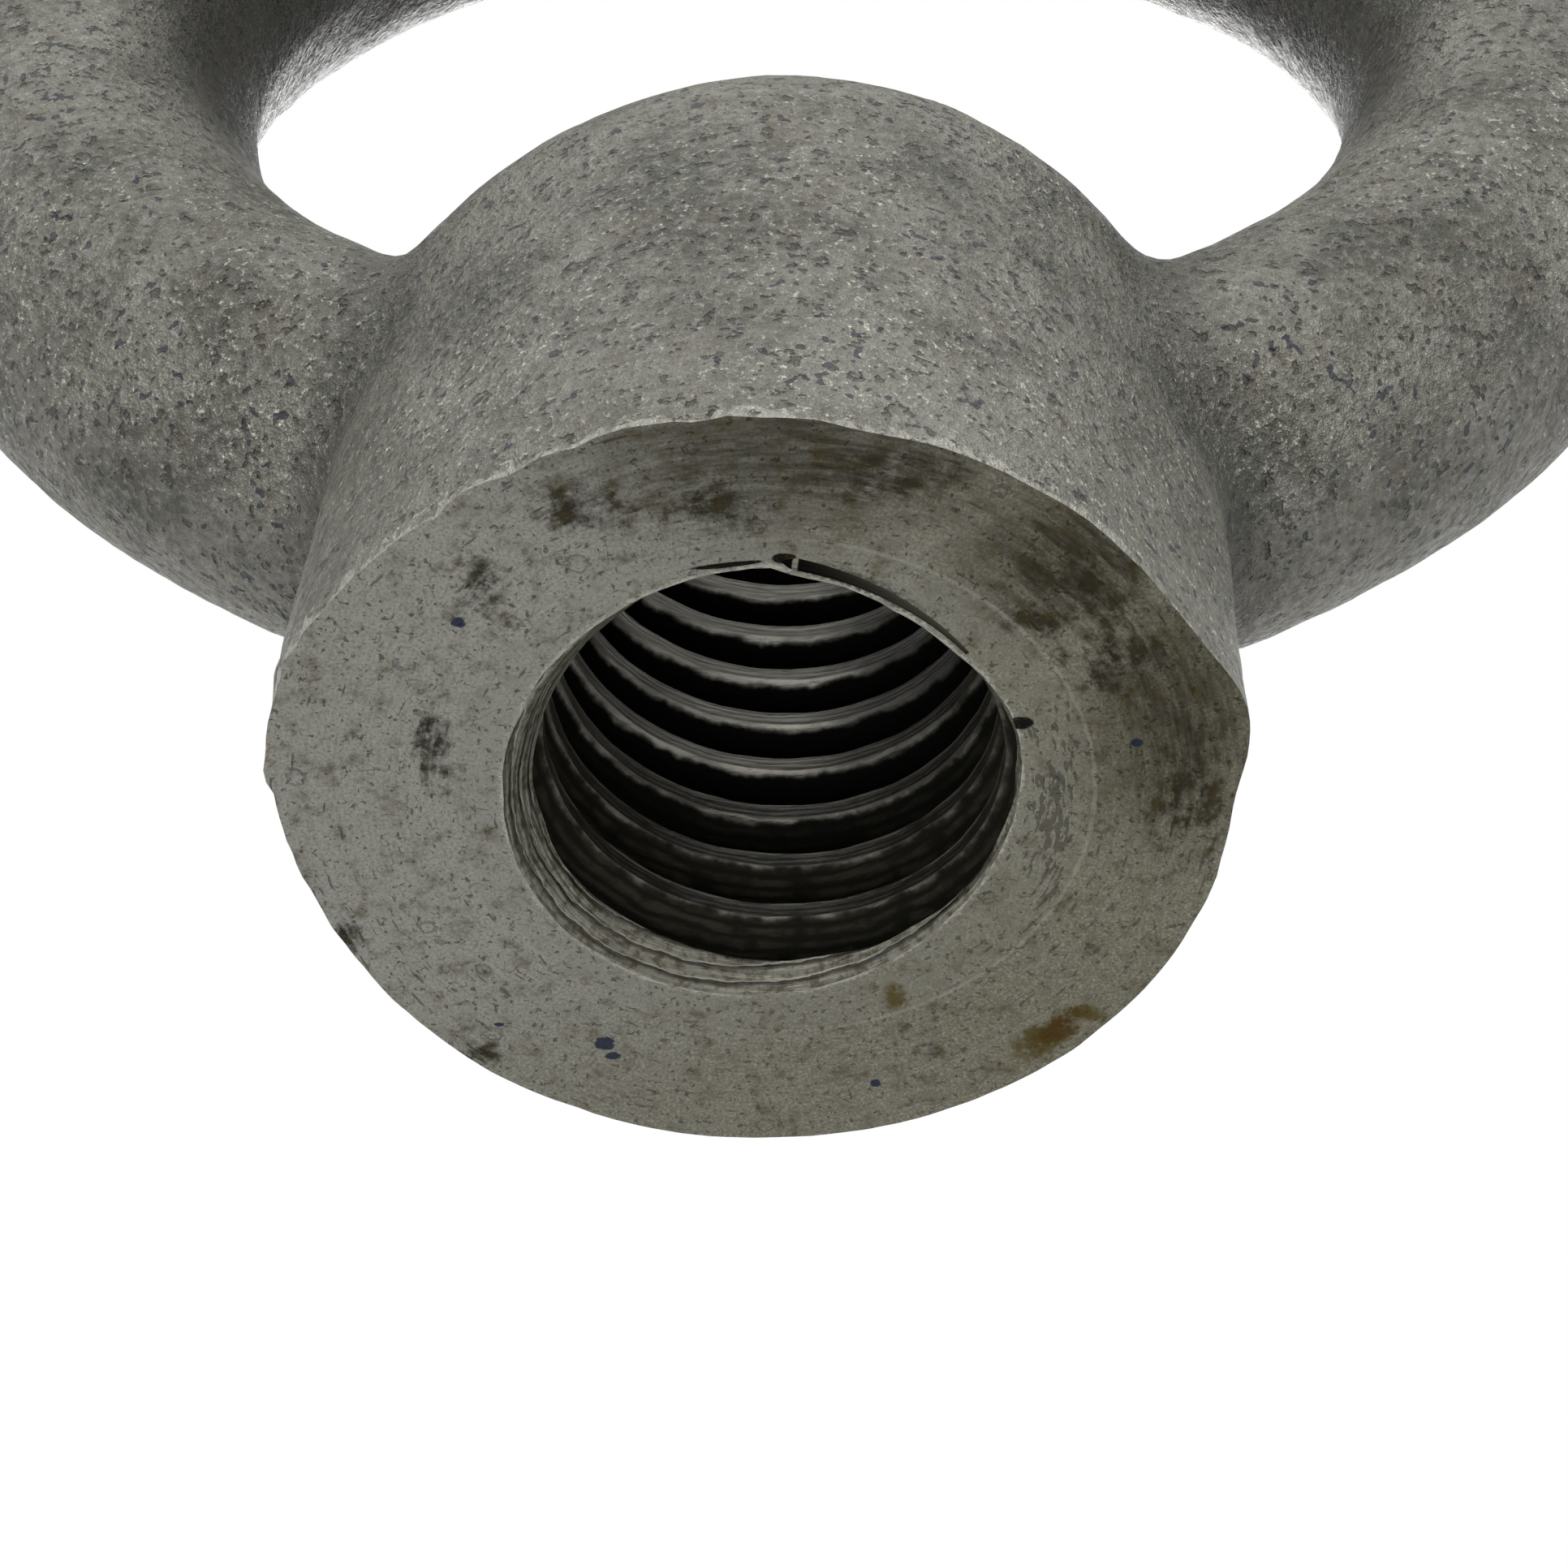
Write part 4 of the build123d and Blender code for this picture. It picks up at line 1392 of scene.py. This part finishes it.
# %% The world
world_light = 0.16
world = bpy.data.worlds.new("studio")
bpy.context.scene.world = world
tree = emptied(world)
level = node(tree, "ShaderNodeMapRange", {
    "Value": rays_that_see(tree), "To Min": world_light, "To Max": 1.0})
sky = node(tree, "ShaderNodeBackground", {"Color": (1, 1, 1, 1), "Strength": level})
node(tree, "ShaderNodeOutputWorld", (sky,))
print("world:", world_light, "as a light")

# %% [markdown]
# Three soft boxes light the nut. The key stands in front, a little above, and lights the
# wall of the boss and the front of the ring. The fill looks up at the bearing face from
# below, and the back light opens the far side of the ring.

# %% Lamps
def soft_lamp(name, place, aim, size, watts):
    """A square soft box at place, turned towards aim, in millimetres."""
    light = bpy.data.lights.new(name, "AREA")
    light.shape, light.size, light.energy = "SQUARE", size * MM, watts
    lamp = bpy.data.objects.new(name, light)
    bpy.context.collection.objects.link(lamp)
    place, aim = Vector(place), Vector(aim)
    turn = (aim - place).to_track_quat("-Z", "Y").to_matrix().to_4x4()
    lamp.matrix_world = Matrix.Translation(place * MM) @ turn


nut_middle = (0, 0, 15)
soft_lamp("key", (10, -380, 90), nut_middle, 100, 0.69)
soft_lamp("fill", (-70, -130, -300), nut_middle, 200, 0.21)
soft_lamp("back", (0, 260, 300), nut_middle, 160, 0.50)

# %% [markdown]
# The camera stands in front of the foot and below it, close enough that the boss looks
# much larger than the ring behind it. Its place is given by the angle between the view and
# the hole's axis, the turn about that axis, and the distance.

# %% Where the camera stands
view_tilt = radians(40.15)
view_turn = radians(-0.44)
view_roll = radians(0.3)
distance = 75.6                              # mm
aim_right, aim_up = 0.25, 0.35               # mm, from the hole's axis
right = Vector((cos(view_turn), -sin(view_turn), 0))
ahead = Vector((sin(view_turn), cos(view_turn), 0))
rise = Vector((0, 0, 1))
upward = -cos(view_tilt) * ahead + sin(view_tilt) * rise
backward = -sin(view_tilt) * ahead - cos(view_tilt) * rise
stand = aim_right * right + aim_up * upward + distance * backward
print("camera at", [round(v, 1) for v in stand])

# %% [markdown]
# A lens of 80 mm on a full frame sees a square about 34 mm wide at this distance. The
# camera clips what is nearer than a millimetre, because the scene is small.

# %% Camera
camera_data = bpy.data.cameras.new("camera")
camera_data.sensor_width, camera_data.lens = 36.0, 80.1
camera_data.clip_start = 1 * MM
camera = bpy.data.objects.new("camera", camera_data)
bpy.context.collection.objects.link(camera)
axes = Matrix((right, upward, backward)).transposed() @ Matrix.Rotation(view_roll, 3, "Z")
camera.matrix_world = Matrix.Translation(stand * MM) @ axes.to_4x4()
bpy.context.scene.camera = camera
bpy.context.scene.view_settings.view_transform = "Standard"
print("lens:", round(camera_data.lens, 1), "mm")
